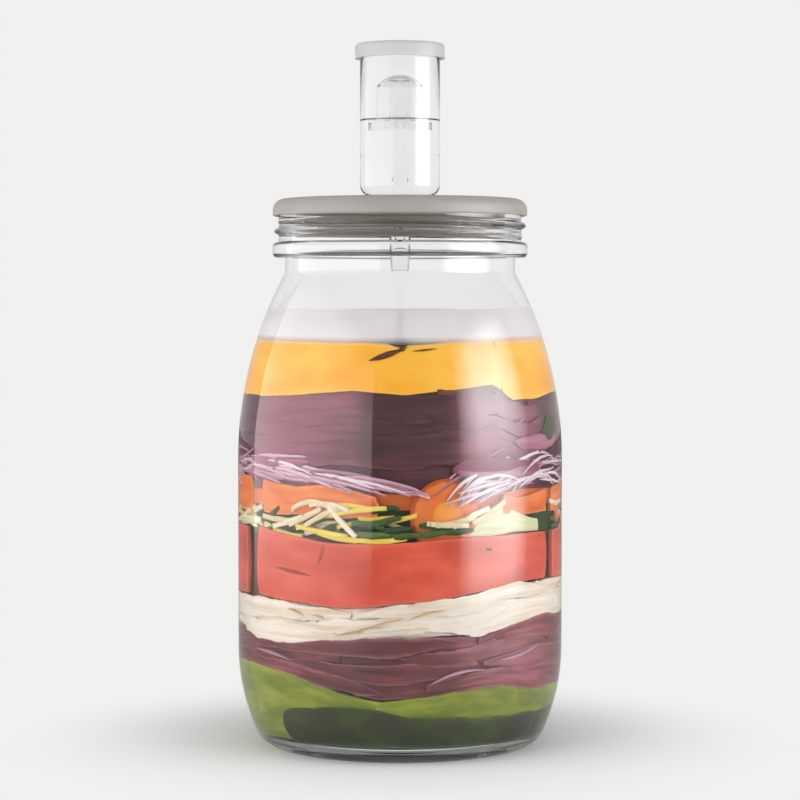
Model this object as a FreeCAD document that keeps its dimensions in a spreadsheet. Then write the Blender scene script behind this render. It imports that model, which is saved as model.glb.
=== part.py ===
import FreeCAD, Part
import math
import os
import Sketcher

# A three litre glass fermentation jar, packed with vegetables and brine under two
# ceramic stones, closed by a silicone lid that carries a three-piece water airlock.
# Millimetres, +Z up, origin at the middle of the ring the glass stands on.

SIZES = {
    # Glass jar, from the foot up
    "body_radius": 74.0,
    "glass_wall": 3.4,
    "floor_thickness": 6.5,
    "push_up": 5.0,
    "bearing_width": 9.0,
    "heel_corner": 12.0,
    "heel_curve": 95.0,
    "heel_height": 45.0,
    "inside_corner": 14.0,
    "shoulder_height": 130.0,
    "shoulder_curve": 178.0,
    "mouth_radius": 49.0,
    "neck_curve": 6.0,
    "waist_length": 5.5,
    "bead_reach": 9.1,
    "bead_height": 7.0,
    "bead_round": 2.0,
    "finish_wall": 6.3,
    "finish_height": 15.0,
    "rim_round": 2.0,
    # Silicone lid
    "lip_wall": 2.3,
    "lid_thickness": 4.4,
    "lid_edge_round": 5.2,
    "lip_depth": 3.3,
    "plug_depth": 13.7,
    "plug_wall": 4.2,
    "rib_width": 2.4,
    "rib_round": 1.5,
    "rib_pitch": 4.2,
    "collar_radius": 9.0,
    "collar_depth": 7.0,
    # Airlock body: chamber, riser and stem in one moulding
    "seat_radius": 8.0,
    "seat_height": 1.3,
    "chamber_radius": 18.2,
    "chamber_wall": 1.4,
    "chamber_foot_wall": 2.2,
    "chamber_foot_height": 19.0,
    "chamber_height": 67.1,
    "chamber_corner": 4.6,
    "chamber_floor": 1.8,
    "riser_radius": 6.0,
    "riser_top_radius": 4.6,
    "riser_bore": 3.3,
    "riser_height": 51.6,
    "stem_radius": 5.0,
    "stem_bore": 2.8,
    "stem_length": 33.8,
    "stem_taper": 16.0,
    "stem_tip_radius": 4.0,
    # Airlock float
    "float_radius": 10.9,
    "float_wall": 1.0,
    "float_height": 24.0,
    "float_crown_height": 5.2,
    "float_notch_width": 3.0,
    "float_notch_height": 3.2,
    # Airlock cap
    "cap_wall": 1.8,
    "cap_top": 1.6,
    "cap_height": 6.6,
    "cap_round": 1.6,
    "vent_radius": 0.9,
    "vent_circle_radius": 8.0,
    # Water in the airlock
    "water_depth": 32.8,
    # Brine and the ceramic stones under it
    "brine_drop": 18.2,
    "brine_cover": 5.0,
    "brine_film": 1.0,
    "stone_thickness": 12.0,
    "stone_round": 4.5,
    "stone_corner": 12.0,
    "stone_slit": 2.0,
    # Packed vegetables: the top of each layer at its left and its right edge, as a
    # share of the height from the ground to the stones
    "green_pepper_left_share": 0.218,
    "green_pepper_right_share": 0.168,
    "red_cabbage_left_share": 0.281,
    "red_cabbage_right_share": 0.342,
    "white_cabbage_left_share": 0.378,
    "white_cabbage_right_share": 0.436,
    "red_pepper_left_share": 0.552,
    "red_pepper_right_share": 0.552,
    "mixed_greens_left_share": 0.618,
    "mixed_greens_right_share": 0.618,
    "carrot_left_share": 0.69,
    "carrot_right_share": 0.69,
    "red_onion_left_share": 0.737,
    "red_onion_right_share": 0.737,
    "purple_cabbage_left_share": 0.89,
    "purple_cabbage_right_share": 0.89,
    "yellow_pepper_left_share": 1.0,
    "yellow_pepper_right_share": 1.0,
    # Clearances
    "seat_gap": 0.2,
    "grip_gap": 0.15,
    "slide_gap": 0.4,
    "fill_gap": 0.3,
    "overrun": 5.0,
}
LAYERS = (
    "green_pepper",
    "red_cabbage",
    "white_cabbage",
    "red_pepper",
    "mixed_greens",
    "carrot",
    "red_onion",
    "purple_cabbage",
    "yellow_pepper",
)
RIB_COUNT = 2
NOTCH_COUNT = 2
VENT_COUNT = 6
QUARTER_TURN = 90
HALF_TURN = 180
FULL_TURN = 360

doc = FreeCAD.newDocument("fermentation_jar")
sheet = doc.addObject("Spreadsheet::Sheet", "Sizes")
for row, (alias, value) in enumerate(SIZES.items(), start=1):
    sheet.set(f"A{row}", alias)
    sheet.set(f"B{row}", str(value))
    sheet.setAlias(f"B{row}", alias)
doc.recompute()


class Length:
    """A length in millimetres, with the spreadsheet formula that gives it."""

    def __init__(self, value, formula):
        self.value = value
        self.formula = formula

    def __add__(self, other):
        return Length(self.value + other.value, f"({self.formula} + {other.formula})")

    def __sub__(self, other):
        return Length(self.value - other.value, f"({self.formula} - {other.formula})")

    def __mul__(self, other):
        if isinstance(other, Length):
            return Length(self.value * other.value, f"({self.formula} * {other.formula})")
        return Length(self.value * other, f"({self.formula} * {other})")

    def __truediv__(self, other):
        if isinstance(other, Length):
            return Length(self.value / other.value, f"({self.formula} / {other.formula})")
        return Length(self.value / other, f"({self.formula} / {other})")


ZERO = Length(0.0, "0")
size = {alias: Length(float(sheet.get(alias)), f"Sizes.{alias}") for alias in SIZES}


def leg(long_side, other_leg):
    """The third side of a right triangle, from its longest side and one leg."""
    square = long_side * long_side - other_leg * other_leg
    return Length(math.sqrt(square.value), f"sqrt({square.formula})")


def dome_radius(half_width, rise):
    """The radius of a dome that is level at its middle, from its half width and rise."""
    return (half_width * half_width + rise * rise) / (rise * 2)


def arc_between(start, end, radius, turn):
    """An arc from start to end that turns left or right, as seen along the way."""
    chord = end - start
    side = FreeCAD.Vector(-chord.y, chord.x, 0).normalize()
    if turn == "right":
        side = side * -1
    centre = (start + end) / 2 + side * math.sqrt(radius**2 - (chord.Length / 2) ** 2)
    circle = Part.Circle(centre, FreeCAD.Vector(0, 0, 1), radius)
    first, last = (start, end) if turn == "left" else (end, start)
    return Part.ArcOfCircle(circle, circle.parameter(first), circle.parameter(last))


def bind(sketch, constraint, length):
    """Add one measured constraint and tie it to the spreadsheet."""
    place = sketch.addConstraint(constraint)
    sketch.setExpression(f"Constraints[{place}]", length.formula)


def draw_outline(sketch, corners):
    """Draw a closed outline. A corner is (x, y), reached by a straight line, or
    (x, y, radius, turn), reached by an arc."""
    points = [FreeCAD.Vector(corner[0].value, corner[1].value, 0) for corner in corners]
    edges = []
    for index, corner in enumerate(corners):
        start, end = points[index - 1], points[index]
        if len(corner) == 2:
            edge = sketch.addGeometry(Part.LineSegment(start, end), False)
            edges.append((edge, 1, 2))
            continue
        radius, turn = corner[2:]
        edge = sketch.addGeometry(arc_between(start, end, radius.value, turn), False)
        edges.append((edge, 1, 2) if turn == "left" else (edge, 2, 1))
        bind(sketch, Sketcher.Constraint("Radius", edge, radius.value), radius)
    for index, corner in enumerate(corners):
        edge, _, end = edges[index]
        following, begin, _ = edges[(index + 1) % len(edges)]
        sketch.addConstraint(Sketcher.Constraint("Coincident", edge, end, following, begin))
        for kind, axis, length in (("DistanceX", -2, corner[0]), ("DistanceY", -1, corner[1])):
            if length is ZERO:
                sketch.addConstraint(Sketcher.Constraint("PointOnObject", edge, end, axis))
            else:
                bind(sketch, Sketcher.Constraint(kind, -1, 1, edge, end, length.value), length)


def sketch_on(body, name, role):
    """An empty sketch on one of a body's own origin planes."""
    sketch = body.newObject("Sketcher::SketchObject", name)
    plane = next(part for part in body.Origin.OriginFeatures if part.Role == role)
    sketch.AttachmentSupport = [(plane, "")]
    sketch.MapMode = "FlatFace"
    return sketch


def turned_body(label, corners):
    """A body turned about the Z axis from an outline of (radius, height) corners."""
    body = doc.addObject("PartDesign::Body", label)
    body.Label = label
    outline = sketch_on(body, f"{label}_outline", "XZ_Plane")
    draw_outline(outline, corners)
    turned = body.newObject("PartDesign::Revolution", f"{label}_turned")
    turned.Profile = outline
    turned.ReferenceAxis = (outline, ["V_Axis"])
    turned.Angle = FULL_TURN
    doc.recompute()
    return body


def cut_through(body, sketch, midplane):
    """Cut a sketch right through its body, one way or both ways."""
    before = body.Shape.Volume
    pocket = body.newObject("PartDesign::Pocket", f"{sketch.Name}_cut")
    pocket.Profile = sketch
    pocket.Type = "ThroughAll"
    pocket.Midplane = midplane
    pocket.Reversed = not midplane
    doc.recompute()
    if body.Shape.Volume >= before:
        raise RuntimeError(f"{sketch.Name} cut nothing")
    return pocket


def repeat_round(body, pocket, axis, count, angle):
    """Repeat a cut about an axis of its sketch."""
    pattern = body.newObject("PartDesign::PolarPattern", f"{pocket.Name}_pattern")
    pattern.Originals = [pocket]
    pattern.Axis = (pocket.Profile[0], [axis])
    pattern.Angle = angle
    pattern.Occurrences = count
    body.Tip = pattern
    doc.recompute()


# Glass jar: one piece of blown glass with a pushed-up base, a long round shoulder,
# a narrow waist under the transfer bead and a thick finish up to the rim.
body_radius = size["body_radius"]
glass_wall = size["glass_wall"]
push_up = size["push_up"]
floor_level = size["floor_thickness"]
heel_corner = size["heel_corner"]
heel_curve = size["heel_curve"]
heel_height = size["heel_height"]
inside_corner = size["inside_corner"]
shoulder_height = size["shoulder_height"]
shoulder_curve = size["shoulder_curve"]
mouth_radius = size["mouth_radius"]
neck_curve = size["neck_curve"]
bead_round = size["bead_round"]
rim_round = size["rim_round"]
waist_radius = mouth_radius + glass_wall
bead_radius = mouth_radius + size["bead_reach"]
finish_radius = mouth_radius + size["finish_wall"]
heel_centre = body_radius - heel_curve
shoulder_centre = body_radius - shoulder_curve
neck_centre = waist_radius + neck_curve
neck_reach = shoulder_curve + neck_curve
neck_rise = leg(neck_reach, neck_centre - shoulder_centre)
neck_height = shoulder_height + neck_rise
bead_bottom = neck_height + size["waist_length"]
bead_top = bead_bottom + size["bead_height"]
rim = bead_top + size["finish_height"]


def corner_on_heel(curve, corner, level):
    """A rounded corner between a level floor and the heel curve: the radius where it
    leaves the floor, and the point where it runs into the heel."""
    reach = curve - corner
    drop = heel_height - level - corner
    spread = leg(reach, drop)
    touch = heel_centre + spread * curve / reach, heel_height - drop * curve / reach
    return heel_centre + spread, touch


def neck_on_shoulder(inset):
    """The point where the shoulder, set in by inset, turns into the neck's hollow."""
    part = (shoulder_curve - inset) / neck_reach
    return shoulder_centre + (neck_centre - shoulder_centre) * part, shoulder_height + neck_rise * part


def heel_radius(inset, height):
    """The radius of the heel, set in by inset, at one height."""
    return heel_centre + leg(heel_curve - inset, heel_height - height)


def shoulder_radius(inset, height):
    """The radius of the shoulder, set in by inset, at one height."""
    return shoulder_centre + leg(shoulder_curve - inset, height - shoulder_height)


foot_edge, heel_touch = corner_on_heel(heel_curve, heel_corner, ZERO)
floor_edge, inside_touch = corner_on_heel(heel_curve - glass_wall, inside_corner, floor_level)
bearing_edge = foot_edge - size["bearing_width"]
glass_jar = turned_body("glass_jar", [
    (ZERO, push_up),
    (bearing_edge, ZERO, dome_radius(bearing_edge, push_up), "right"),
    (foot_edge, ZERO),
    (*heel_touch, heel_corner, "left"),
    (body_radius, heel_height, heel_curve, "left"),
    (body_radius, shoulder_height),
    (*neck_on_shoulder(ZERO), shoulder_curve, "left"),
    (waist_radius, neck_height, neck_curve, "right"),
    (waist_radius, bead_bottom),
    (bead_radius - bead_round, bead_bottom),
    (bead_radius, bead_bottom + bead_round, bead_round, "left"),
    (bead_radius, bead_top - bead_round),
    (bead_radius - bead_round, bead_top, bead_round, "left"),
    (finish_radius, bead_top),
    (finish_radius, rim - rim_round),
    (finish_radius - rim_round, rim, rim_round, "left"),
    (mouth_radius + rim_round, rim),
    (mouth_radius, rim - rim_round, rim_round, "left"),
    (mouth_radius, neck_height),
    (*neck_on_shoulder(glass_wall), neck_curve + glass_wall, "left"),
    (body_radius - glass_wall, shoulder_height, shoulder_curve - glass_wall, "right"),
    (body_radius - glass_wall, heel_height),
    (*inside_touch, heel_curve - glass_wall, "right"),
    (floor_edge, floor_level, inside_corner, "right"),
    (ZERO, floor_level + push_up, dome_radius(floor_edge, push_up), "left"),
])

# Silicone lid: a soft disc with a short lip over the rim, a ribbed plug inside the
# mouth and a collar that grips the airlock's stem.
lid_edge = size["lid_edge_round"]
rib_width = size["rib_width"]
rib_round = size["rib_round"]
stem_radius = size["stem_radius"]
collar_radius = size["collar_radius"]
slide_gap = size["slide_gap"]
lid_under = rim + size["seat_gap"]
lid_top = lid_under + size["lid_thickness"]
lip_bottom = lid_under - size["lip_depth"]
lip_inside = finish_radius + slide_gap
lid_radius = lip_inside + size["lip_wall"]
rib_rise = rib_round - leg(rib_round, rib_width / 2)
plug_bottom = lid_under - size["plug_depth"]
plug_radius = mouth_radius - slide_gap - rib_rise
plug_inside = plug_radius - size["plug_wall"]
stem_hole = stem_radius + size["grip_gap"]
collar_bottom = lid_under - size["collar_depth"]
ribs = []
for index in range(RIB_COUNT):
    rib_top = plug_bottom + size["rib_pitch"] * (index + 1)
    ribs.append((plug_radius, rib_top - rib_width))
    ribs.append((plug_radius, rib_top, rib_round, "left"))
silicone_lid = turned_body("silicone_lid", [
    (stem_hole, collar_bottom),
    (collar_radius, collar_bottom),
    (collar_radius, lid_under),
    (plug_inside, lid_under),
    (plug_inside, plug_bottom),
    (plug_radius, plug_bottom),
    *ribs,
    (plug_radius, lid_under),
    (lip_inside, lid_under),
    (lip_inside, lip_bottom),
    (lid_radius, lip_bottom),
    (lid_radius, lid_top - lid_edge),
    (lid_radius - lid_edge, lid_top, lid_edge, "left"),
    (stem_hole, lid_top),
])

# Airlock body: a clear moulded cup with a thicker foot, a hollow riser standing in
# its middle and a tapered stem that passes down through the lid.
chamber_radius = size["chamber_radius"]
chamber_corner = size["chamber_corner"]
riser_radius = size["riser_radius"]
riser_bore = size["riser_bore"]
stem_bore = size["stem_bore"]
seat_radius = size["seat_radius"]
seat_level = lid_top + size["seat_gap"]
chamber_bottom = seat_level + size["seat_height"]
chamber_floor = chamber_bottom + size["chamber_floor"]
chamber_step = chamber_bottom + size["chamber_foot_height"]
chamber_rim = chamber_bottom + size["chamber_height"]
chamber_inside = chamber_radius - size["chamber_wall"]
foot_inside = chamber_radius - size["chamber_foot_wall"]
foot_round = chamber_corner - size["chamber_foot_wall"]
riser_top = chamber_bottom + size["riser_height"]
stem_tip = seat_level - size["stem_length"]
airlock_body = turned_body("airlock_body", [
    (stem_bore, stem_tip),
    (size["stem_tip_radius"], stem_tip),
    (stem_radius, stem_tip + size["stem_taper"]),
    (stem_radius, seat_level),
    (seat_radius, seat_level),
    (seat_radius, chamber_bottom),
    (chamber_radius - chamber_corner, chamber_bottom),
    (chamber_radius, chamber_bottom + chamber_corner, chamber_corner, "left"),
    (chamber_radius, chamber_rim),
    (chamber_inside, chamber_rim),
    (chamber_inside, chamber_step),
    (foot_inside, chamber_step - (chamber_inside - foot_inside)),
    (foot_inside, chamber_floor + foot_round),
    (foot_inside - foot_round, chamber_floor, foot_round, "right"),
    (riser_radius, chamber_floor),
    (size["riser_top_radius"], riser_top),
    (riser_bore, riser_top),
    (riser_bore, chamber_floor),
    (stem_bore, chamber_bottom),
])

# Airlock float: a thin inverted cup with a domed crown. Its dome rests on the riser's
# edge, and its rim is notched so that the gas leaves in small bubbles.
float_radius = size["float_radius"]
float_wall = size["float_wall"]
crown_height = size["float_crown_height"]
float_inside = float_radius - float_wall
outer_dome = dome_radius(float_radius, crown_height)
inner_dome = dome_radius(float_inside, crown_height - float_wall)
crown_drop = inner_dome - leg(inner_dome, size["riser_top_radius"])
float_top = riser_top + size["seat_gap"] + crown_drop + float_wall
float_rim = float_top - size["float_height"]
crown_edge = float_top - crown_height
airlock_float = turned_body("airlock_float", [
    (ZERO, float_top - float_wall),
    (float_inside, crown_edge, inner_dome, "right"),
    (float_inside, float_rim),
    (float_radius, float_rim),
    (float_radius, crown_edge),
    (ZERO, float_top, outer_dome, "left"),
])
float_notch = sketch_on(airlock_float, "float_notch", "XZ_Plane")
notch_half = size["float_notch_width"] / 2
notch_foot = float_rim - size["overrun"]
notch_top = float_rim + size["float_notch_height"]
draw_outline(float_notch, [
    (ZERO - notch_half, notch_foot),
    (notch_half, notch_foot),
    (notch_half, notch_top),
    (ZERO - notch_half, notch_top),
])
notch_cut = cut_through(airlock_float, float_notch, True)
repeat_round(airlock_float, notch_cut, "V_Axis", NOTCH_COUNT, QUARTER_TURN)

# Airlock water: a ring of water round the riser, with the slot that the float's rim
# dips into.
fill_gap = size["fill_gap"]
water_level = chamber_floor + size["water_depth"]
water_floor = chamber_floor + fill_gap
water_foot = foot_inside - fill_gap
water_edge = chamber_inside - fill_gap
water_inside = riser_radius + fill_gap
slot_edge = float_radius + slide_gap
slot_floor = float_rim - slide_gap
airlock_water = turned_body("airlock_water", [
    (water_inside, water_floor),
    (water_foot - foot_round, water_floor),
    (water_foot, water_floor + foot_round, foot_round, "left"),
    (water_foot, chamber_step - (water_edge - water_foot)),
    (water_edge, chamber_step),
    (water_edge, water_level),
    (slot_edge, water_level),
    (slot_edge, slot_floor),
    (water_inside, slot_floor),
])

# Airlock cap: a loose push-on cover with a rounded edge and a ring of vent holes.
cap_round = size["cap_round"]
cap_inside = chamber_radius + slide_gap
cap_radius = cap_inside + size["cap_wall"]
cap_under = chamber_rim + size["seat_gap"]
cap_top = cap_under + size["cap_top"]
cap_bottom = cap_top - size["cap_height"]
airlock_cap = turned_body("airlock_cap", [
    (ZERO, cap_under),
    (cap_inside, cap_under),
    (cap_inside, cap_bottom),
    (cap_radius, cap_bottom),
    (cap_radius, cap_top - cap_round),
    (cap_radius - cap_round, cap_top, cap_round, "left"),
    (ZERO, cap_top),
])
vent = sketch_on(airlock_cap, "cap_vent", "XY_Plane")
vent_radius = size["vent_radius"]
vent_circle = size["vent_circle_radius"]
vent_centre = FreeCAD.Vector(vent_circle.value, 0, 0)
hole = vent.addGeometry(Part.Circle(vent_centre, FreeCAD.Vector(0, 0, 1), vent_radius.value), False)
vent.addConstraint(Sketcher.Constraint("PointOnObject", hole, 3, -1))
bind(vent, Sketcher.Constraint("DistanceX", -1, 1, hole, 3, vent_circle.value), vent_circle)
bind(vent, Sketcher.Constraint("Radius", hole, vent_radius.value), vent_radius)
vent_cut = cut_through(airlock_cap, vent, False)
repeat_round(airlock_cap, vent_cut, "N_Axis", VENT_COUNT, FULL_TURN)

# Levels of the packed contents: the brine ends below the neck, the stones lie under
# it, and the vegetable layers share the height that is left.
brine_level = neck_height - size["brine_drop"]
stone_top = brine_level - size["brine_cover"]
stone_base = stone_top - size["stone_thickness"]
left_level = {"floor": ZERO}
right_level = {"floor": ZERO}
for layer in LAYERS:
    left_level[layer] = stone_base * size[f"{layer}_left_share"]
    right_level[layer] = stone_base * size[f"{layer}_right_share"]

# Food form: everything that is packed in the glass, a film of brine inside its wall.
brine_inset = glass_wall + fill_gap
food_inset = brine_inset + size["brine_film"] + fill_gap
food_corner = inside_corner - fill_gap
food_edge, food_touch = corner_on_heel(
    heel_curve - food_inset, food_corner, floor_level + fill_gap)
food_form = turned_body("food_form", [
    (ZERO, floor_level + push_up + fill_gap),
    (food_edge, floor_level + fill_gap, dome_radius(food_edge, push_up), "right"),
    (*food_touch, food_corner, "left"),
    (body_radius - food_inset, heel_height, heel_curve - food_inset, "left"),
    (body_radius - food_inset, shoulder_height),
    (shoulder_radius(food_inset, stone_base), stone_base, shoulder_curve - food_inset, "left"),
    (ZERO, stone_base),
])


def packed_layer(label, low_left, low_right, high_left, high_right):
    """The part of the food between two sloping levels, each given left and right."""
    width = body_radius * 2
    outline = doc.addObject("Sketcher::SketchObject", f"{label}_outline")
    outline.Placement.Rotation = FreeCAD.Rotation(FreeCAD.Vector(1, 0, 0), QUARTER_TURN)
    outline.setExpression("Placement.Base.x", f"-{body_radius.formula}")
    draw_outline(outline, [
        (ZERO, low_left),
        (width, low_right),
        (width, high_right),
        (ZERO, high_left),
    ])
    slab = doc.addObject("Part::Extrusion", f"{label}_slab")
    slab.Base = outline
    slab.DirMode = "Custom"
    slab.Dir = FreeCAD.Vector(0, 1, 0)
    slab.setExpression("LengthFwd", width.formula)
    slab.Symmetric = True
    slab.Solid = True
    piece = doc.addObject("Part::Common", label)
    piece.Base = food_form
    piece.Tool = slab
    piece.Label = label
    return piece


# Vegetable layers: each is pressed down on the one below it.
layer_pieces = []
below = "floor"
for layer in LAYERS:
    layer_pieces.append(packed_layer(
        f"{layer}_layer",
        left_level[below],
        right_level[below],
        left_level[layer] - fill_gap,
        right_level[layer] - fill_gap,
    ))
    below = layer

# Ceramic stones: two half-moon weights with rounded edges. They lie flat side to flat
# side across the jar and keep the food under the brine.
stone_round = size["stone_round"]
stone_corner = size["stone_corner"]
stone_thickness = size["stone_thickness"]
stone_flat = size["stone_slit"] / 2
stone_radius = shoulder_radius(food_inset, stone_top)
corner_reach = stone_radius - stone_corner
corner_x = stone_flat + stone_corner
corner_y = leg(corner_reach, corner_x)
round_x = corner_x * stone_radius / corner_reach
round_y = corner_y * stone_radius / corner_reach
stones = []
for label, half_turns in (("stone_right", 0), ("stone_left", 1)):
    stone = doc.addObject("PartDesign::Body", label)
    stone.Label = label
    half_moon = sketch_on(stone, f"{label}_outline", "XY_Plane")
    draw_outline(half_moon, [
        (stone_flat, ZERO - corner_y),
        (round_x, ZERO - round_y, stone_corner, "left"),
        (round_x, round_y, stone_radius, "left"),
        (stone_flat, corner_y, stone_corner, "left"),
    ])
    block = stone.newObject("PartDesign::Pad", f"{label}_block")
    block.Profile = half_moon
    block.setExpression("Length", stone_thickness.formula)
    doc.recompute()
    level_faces = [
        f"Face{number}"
        for number, face in enumerate(block.Shape.Faces, start=1)
        if abs(face.normalAt(0, 0).z) == 1
    ]
    softened = stone.newObject("PartDesign::Fillet", f"{label}_softened")
    softened.Base = (block, level_faces)
    softened.setExpression("Radius", stone_round.formula)
    stone.setExpression("Placement.Base.z", stone_base.formula)
    stone.Placement.Rotation = FreeCAD.Rotation(FreeCAD.Vector(0, 0, 1), half_turns * HALF_TURN)
    stones.append(stone)
doc.recompute()

# Brine: a film round the packed food, from the foot of the heel up, and the clear
# layer that covers the stones.
film_inset = brine_inset + size["brine_film"]
film_bottom = inside_touch[1]
cover_bottom = stone_top + fill_gap
brine = turned_body("brine", [
    (heel_radius(film_inset, film_bottom), film_bottom, heel_curve - film_inset, "right"),
    (heel_radius(brine_inset, film_bottom), film_bottom),
    (body_radius - brine_inset, heel_height, heel_curve - brine_inset, "left"),
    (body_radius - brine_inset, shoulder_height),
    (shoulder_radius(brine_inset, brine_level), brine_level, shoulder_curve - brine_inset, "left"),
    (ZERO, brine_level),
    (ZERO, cover_bottom),
    (shoulder_radius(film_inset, cover_bottom), cover_bottom),
    (body_radius - film_inset, shoulder_height, shoulder_curve - film_inset, "right"),
    (body_radius - film_inset, heel_height),
])

pieces = [
    glass_jar,
    silicone_lid,
    airlock_body,
    airlock_float,
    airlock_cap,
    airlock_water,
    *layer_pieces,
    *stones,
    brine,
]
for item in doc.Objects:
    if "Invalid" in item.State or "Error" in item.State:
        raise RuntimeError(f"{item.Name} failed: {item.State}")
for piece in pieces:
    if piece.Shape.isNull() or not piece.Shape.isValid():
        raise RuntimeError(f"{piece.Label} has no valid shape")
os.makedirs("parts", exist_ok=True)
for piece in pieces:
    piece.Shape.exportStep(f"parts/{piece.Label}.step")
    print(f"{piece.Label}: {piece.Shape.Volume:.0f} mm3, {len(piece.Shape.Solids)} solid")
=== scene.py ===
import bpy
import math
import random
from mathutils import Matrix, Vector, noise


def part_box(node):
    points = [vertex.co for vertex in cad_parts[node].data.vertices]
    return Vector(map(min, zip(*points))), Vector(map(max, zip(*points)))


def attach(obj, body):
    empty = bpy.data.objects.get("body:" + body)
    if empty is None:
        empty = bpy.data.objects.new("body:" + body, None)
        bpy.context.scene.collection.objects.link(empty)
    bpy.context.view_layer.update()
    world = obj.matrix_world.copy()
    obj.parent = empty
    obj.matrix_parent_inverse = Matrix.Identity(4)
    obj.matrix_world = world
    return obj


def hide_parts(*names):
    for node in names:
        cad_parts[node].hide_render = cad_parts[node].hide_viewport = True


# A glass fermentation jar, packed with layers of cut vegetables in brine and closed by
# a silicone lid that carries a water airlock. Metres, +Z up, the front towards -Y.
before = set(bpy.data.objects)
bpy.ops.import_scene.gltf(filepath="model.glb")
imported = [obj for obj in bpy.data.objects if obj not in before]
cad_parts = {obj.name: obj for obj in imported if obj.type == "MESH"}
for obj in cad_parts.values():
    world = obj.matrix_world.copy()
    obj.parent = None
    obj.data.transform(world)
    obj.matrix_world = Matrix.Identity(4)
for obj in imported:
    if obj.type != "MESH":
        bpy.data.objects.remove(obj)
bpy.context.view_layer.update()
scene = bpy.context.scene
scene.view_settings.view_transform = "Standard"

# Glass jar: one piece of clear blown glass, with a pushed-up base on a knurled ring, a
# long round shoulder, a transfer bead and a screw thread moulded on the finish. It is
# turned from one outline; below the brine its inside is wet.
BODY_RADIUS = 0.074
GLASS_WALL = 0.0034
FLOOR = 0.0065
FLOOR_ZONE = 0.02
PUSH_UP = 0.005
BEARING_WIDTH = 0.009
HEEL_HEIGHT = 0.045
HEEL_CURVE = 0.095
HEEL_CORNER = 0.012
INSIDE_CORNER = 0.014
SHOULDER_HEIGHT = 0.13
SHOULDER_CURVE = 0.178
MOUTH_RADIUS = 0.049
NECK_CURVE = 0.006
NECK_HEIGHT = 0.2165
BEAD_RADIUS = 0.0581
BEAD_BOTTOM = 0.222
BEAD_TOP = 0.229
FINISH_RADIUS = 0.0553
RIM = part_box("glass_jar")[1].z
EDGE_ROUND = 0.002
BRINE_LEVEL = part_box("brine")[1].z
THREAD_TOP = 0.2388
THREAD_PITCH = 0.0048
THREAD_TURNS = 1.5
THREAD_FADE = 12
THREAD_REACH = 0.0022
THREAD_HALF = 0.0017
THREAD_ROWS = 20
KNURL_DEPTH = 0.00035
KNURL_HEIGHT = 0.005
GLASS_TURNS = 192
GLASS_BEND = 1.5
WATER_BEND = 1.333
WELD = 1e-6
HAIR = 1e-5


def arc(centre, radius, start, end, steps):
    """Points of an arc in an outline, from one angle in degrees to the other."""
    points = []
    for step in range(steps + 1):
        angle = math.radians(start + (end - start) * step / steps)
        points.append((centre[0] + radius * math.cos(angle), centre[1] + radius * math.sin(angle)))
    return points


def slope(centre, point):
    """The angle in degrees from an arc's centre to a point."""
    return math.degrees(math.atan2(point[1] - centre[1], point[0] - centre[0]))


def dome(edge, rise, steps, outwards):
    """Points of a shallow dome from the axis to its edge, or back from the edge."""
    radius = (edge[0] ** 2 + rise ** 2) / (2 * rise)
    centre = (0.0, edge[1] + rise - radius)
    points = arc(centre, radius, 90, slope(centre, edge), steps)
    return points if outwards else points[::-1]


def turned(name, outline, steps, sharp):
    """A turned piece: one vertex is drawn along the outline and spun about the axis."""
    bpy.ops.object.select_all(action="DESELECT")
    bpy.ops.mesh.primitive_plane_add(size=0.01)
    piece = bpy.context.object
    piece.name = name
    bpy.ops.object.mode_set(mode="EDIT")
    bpy.ops.mesh.merge(type="CENTER")
    bpy.ops.transform.translate(value=(outline[0][0], 0, outline[0][1]))
    for here, there in zip(outline, outline[1:]):
        step = (there[0] - here[0], 0, there[1] - here[1])
        bpy.ops.mesh.extrude_region_move(TRANSFORM_OT_translate={"value": step})
    bpy.ops.mesh.select_all(action="SELECT")
    bpy.ops.mesh.remove_doubles(threshold=WELD)
    bpy.ops.mesh.spin(steps=steps, angle=math.tau, center=(0, 0, 0), axis=(0, 0, 1))
    bpy.ops.mesh.select_all(action="SELECT")
    bpy.ops.mesh.remove_doubles(threshold=WELD)
    bpy.ops.mesh.normals_make_consistent(inside=False)
    bpy.ops.object.mode_set(mode="OBJECT")
    bpy.ops.object.shade_smooth_by_angle(angle=math.radians(sharp))
    return piece


def put(node, values):
    """Sets a node's inputs, by name or number: to a value, or to another node's output."""
    for socket, value in values.items():
        if isinstance(value, tuple) and isinstance(value[0], bpy.types.Node):
            source, output = value
            node.id_data.links.new(source.outputs[output], node.inputs[socket])
        else:
            node.inputs[socket].default_value = value


def add(tree, kind, values=None, **settings):
    """A new shader node with its settings and what its inputs get."""
    node = tree.nodes.new("ShaderNode" + kind)
    for setting, value in settings.items():
        setattr(node, setting, value)
    put(node, values or {})
    return node


def new_material(name, values):
    """A new material, its node tree and its shader with the values that hold all over."""
    material = bpy.data.materials.new(name)
    material.use_nodes = True
    shader = material.node_tree.nodes["Principled BSDF"]
    put(shader, values)
    return material, material.node_tree, shader


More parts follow.
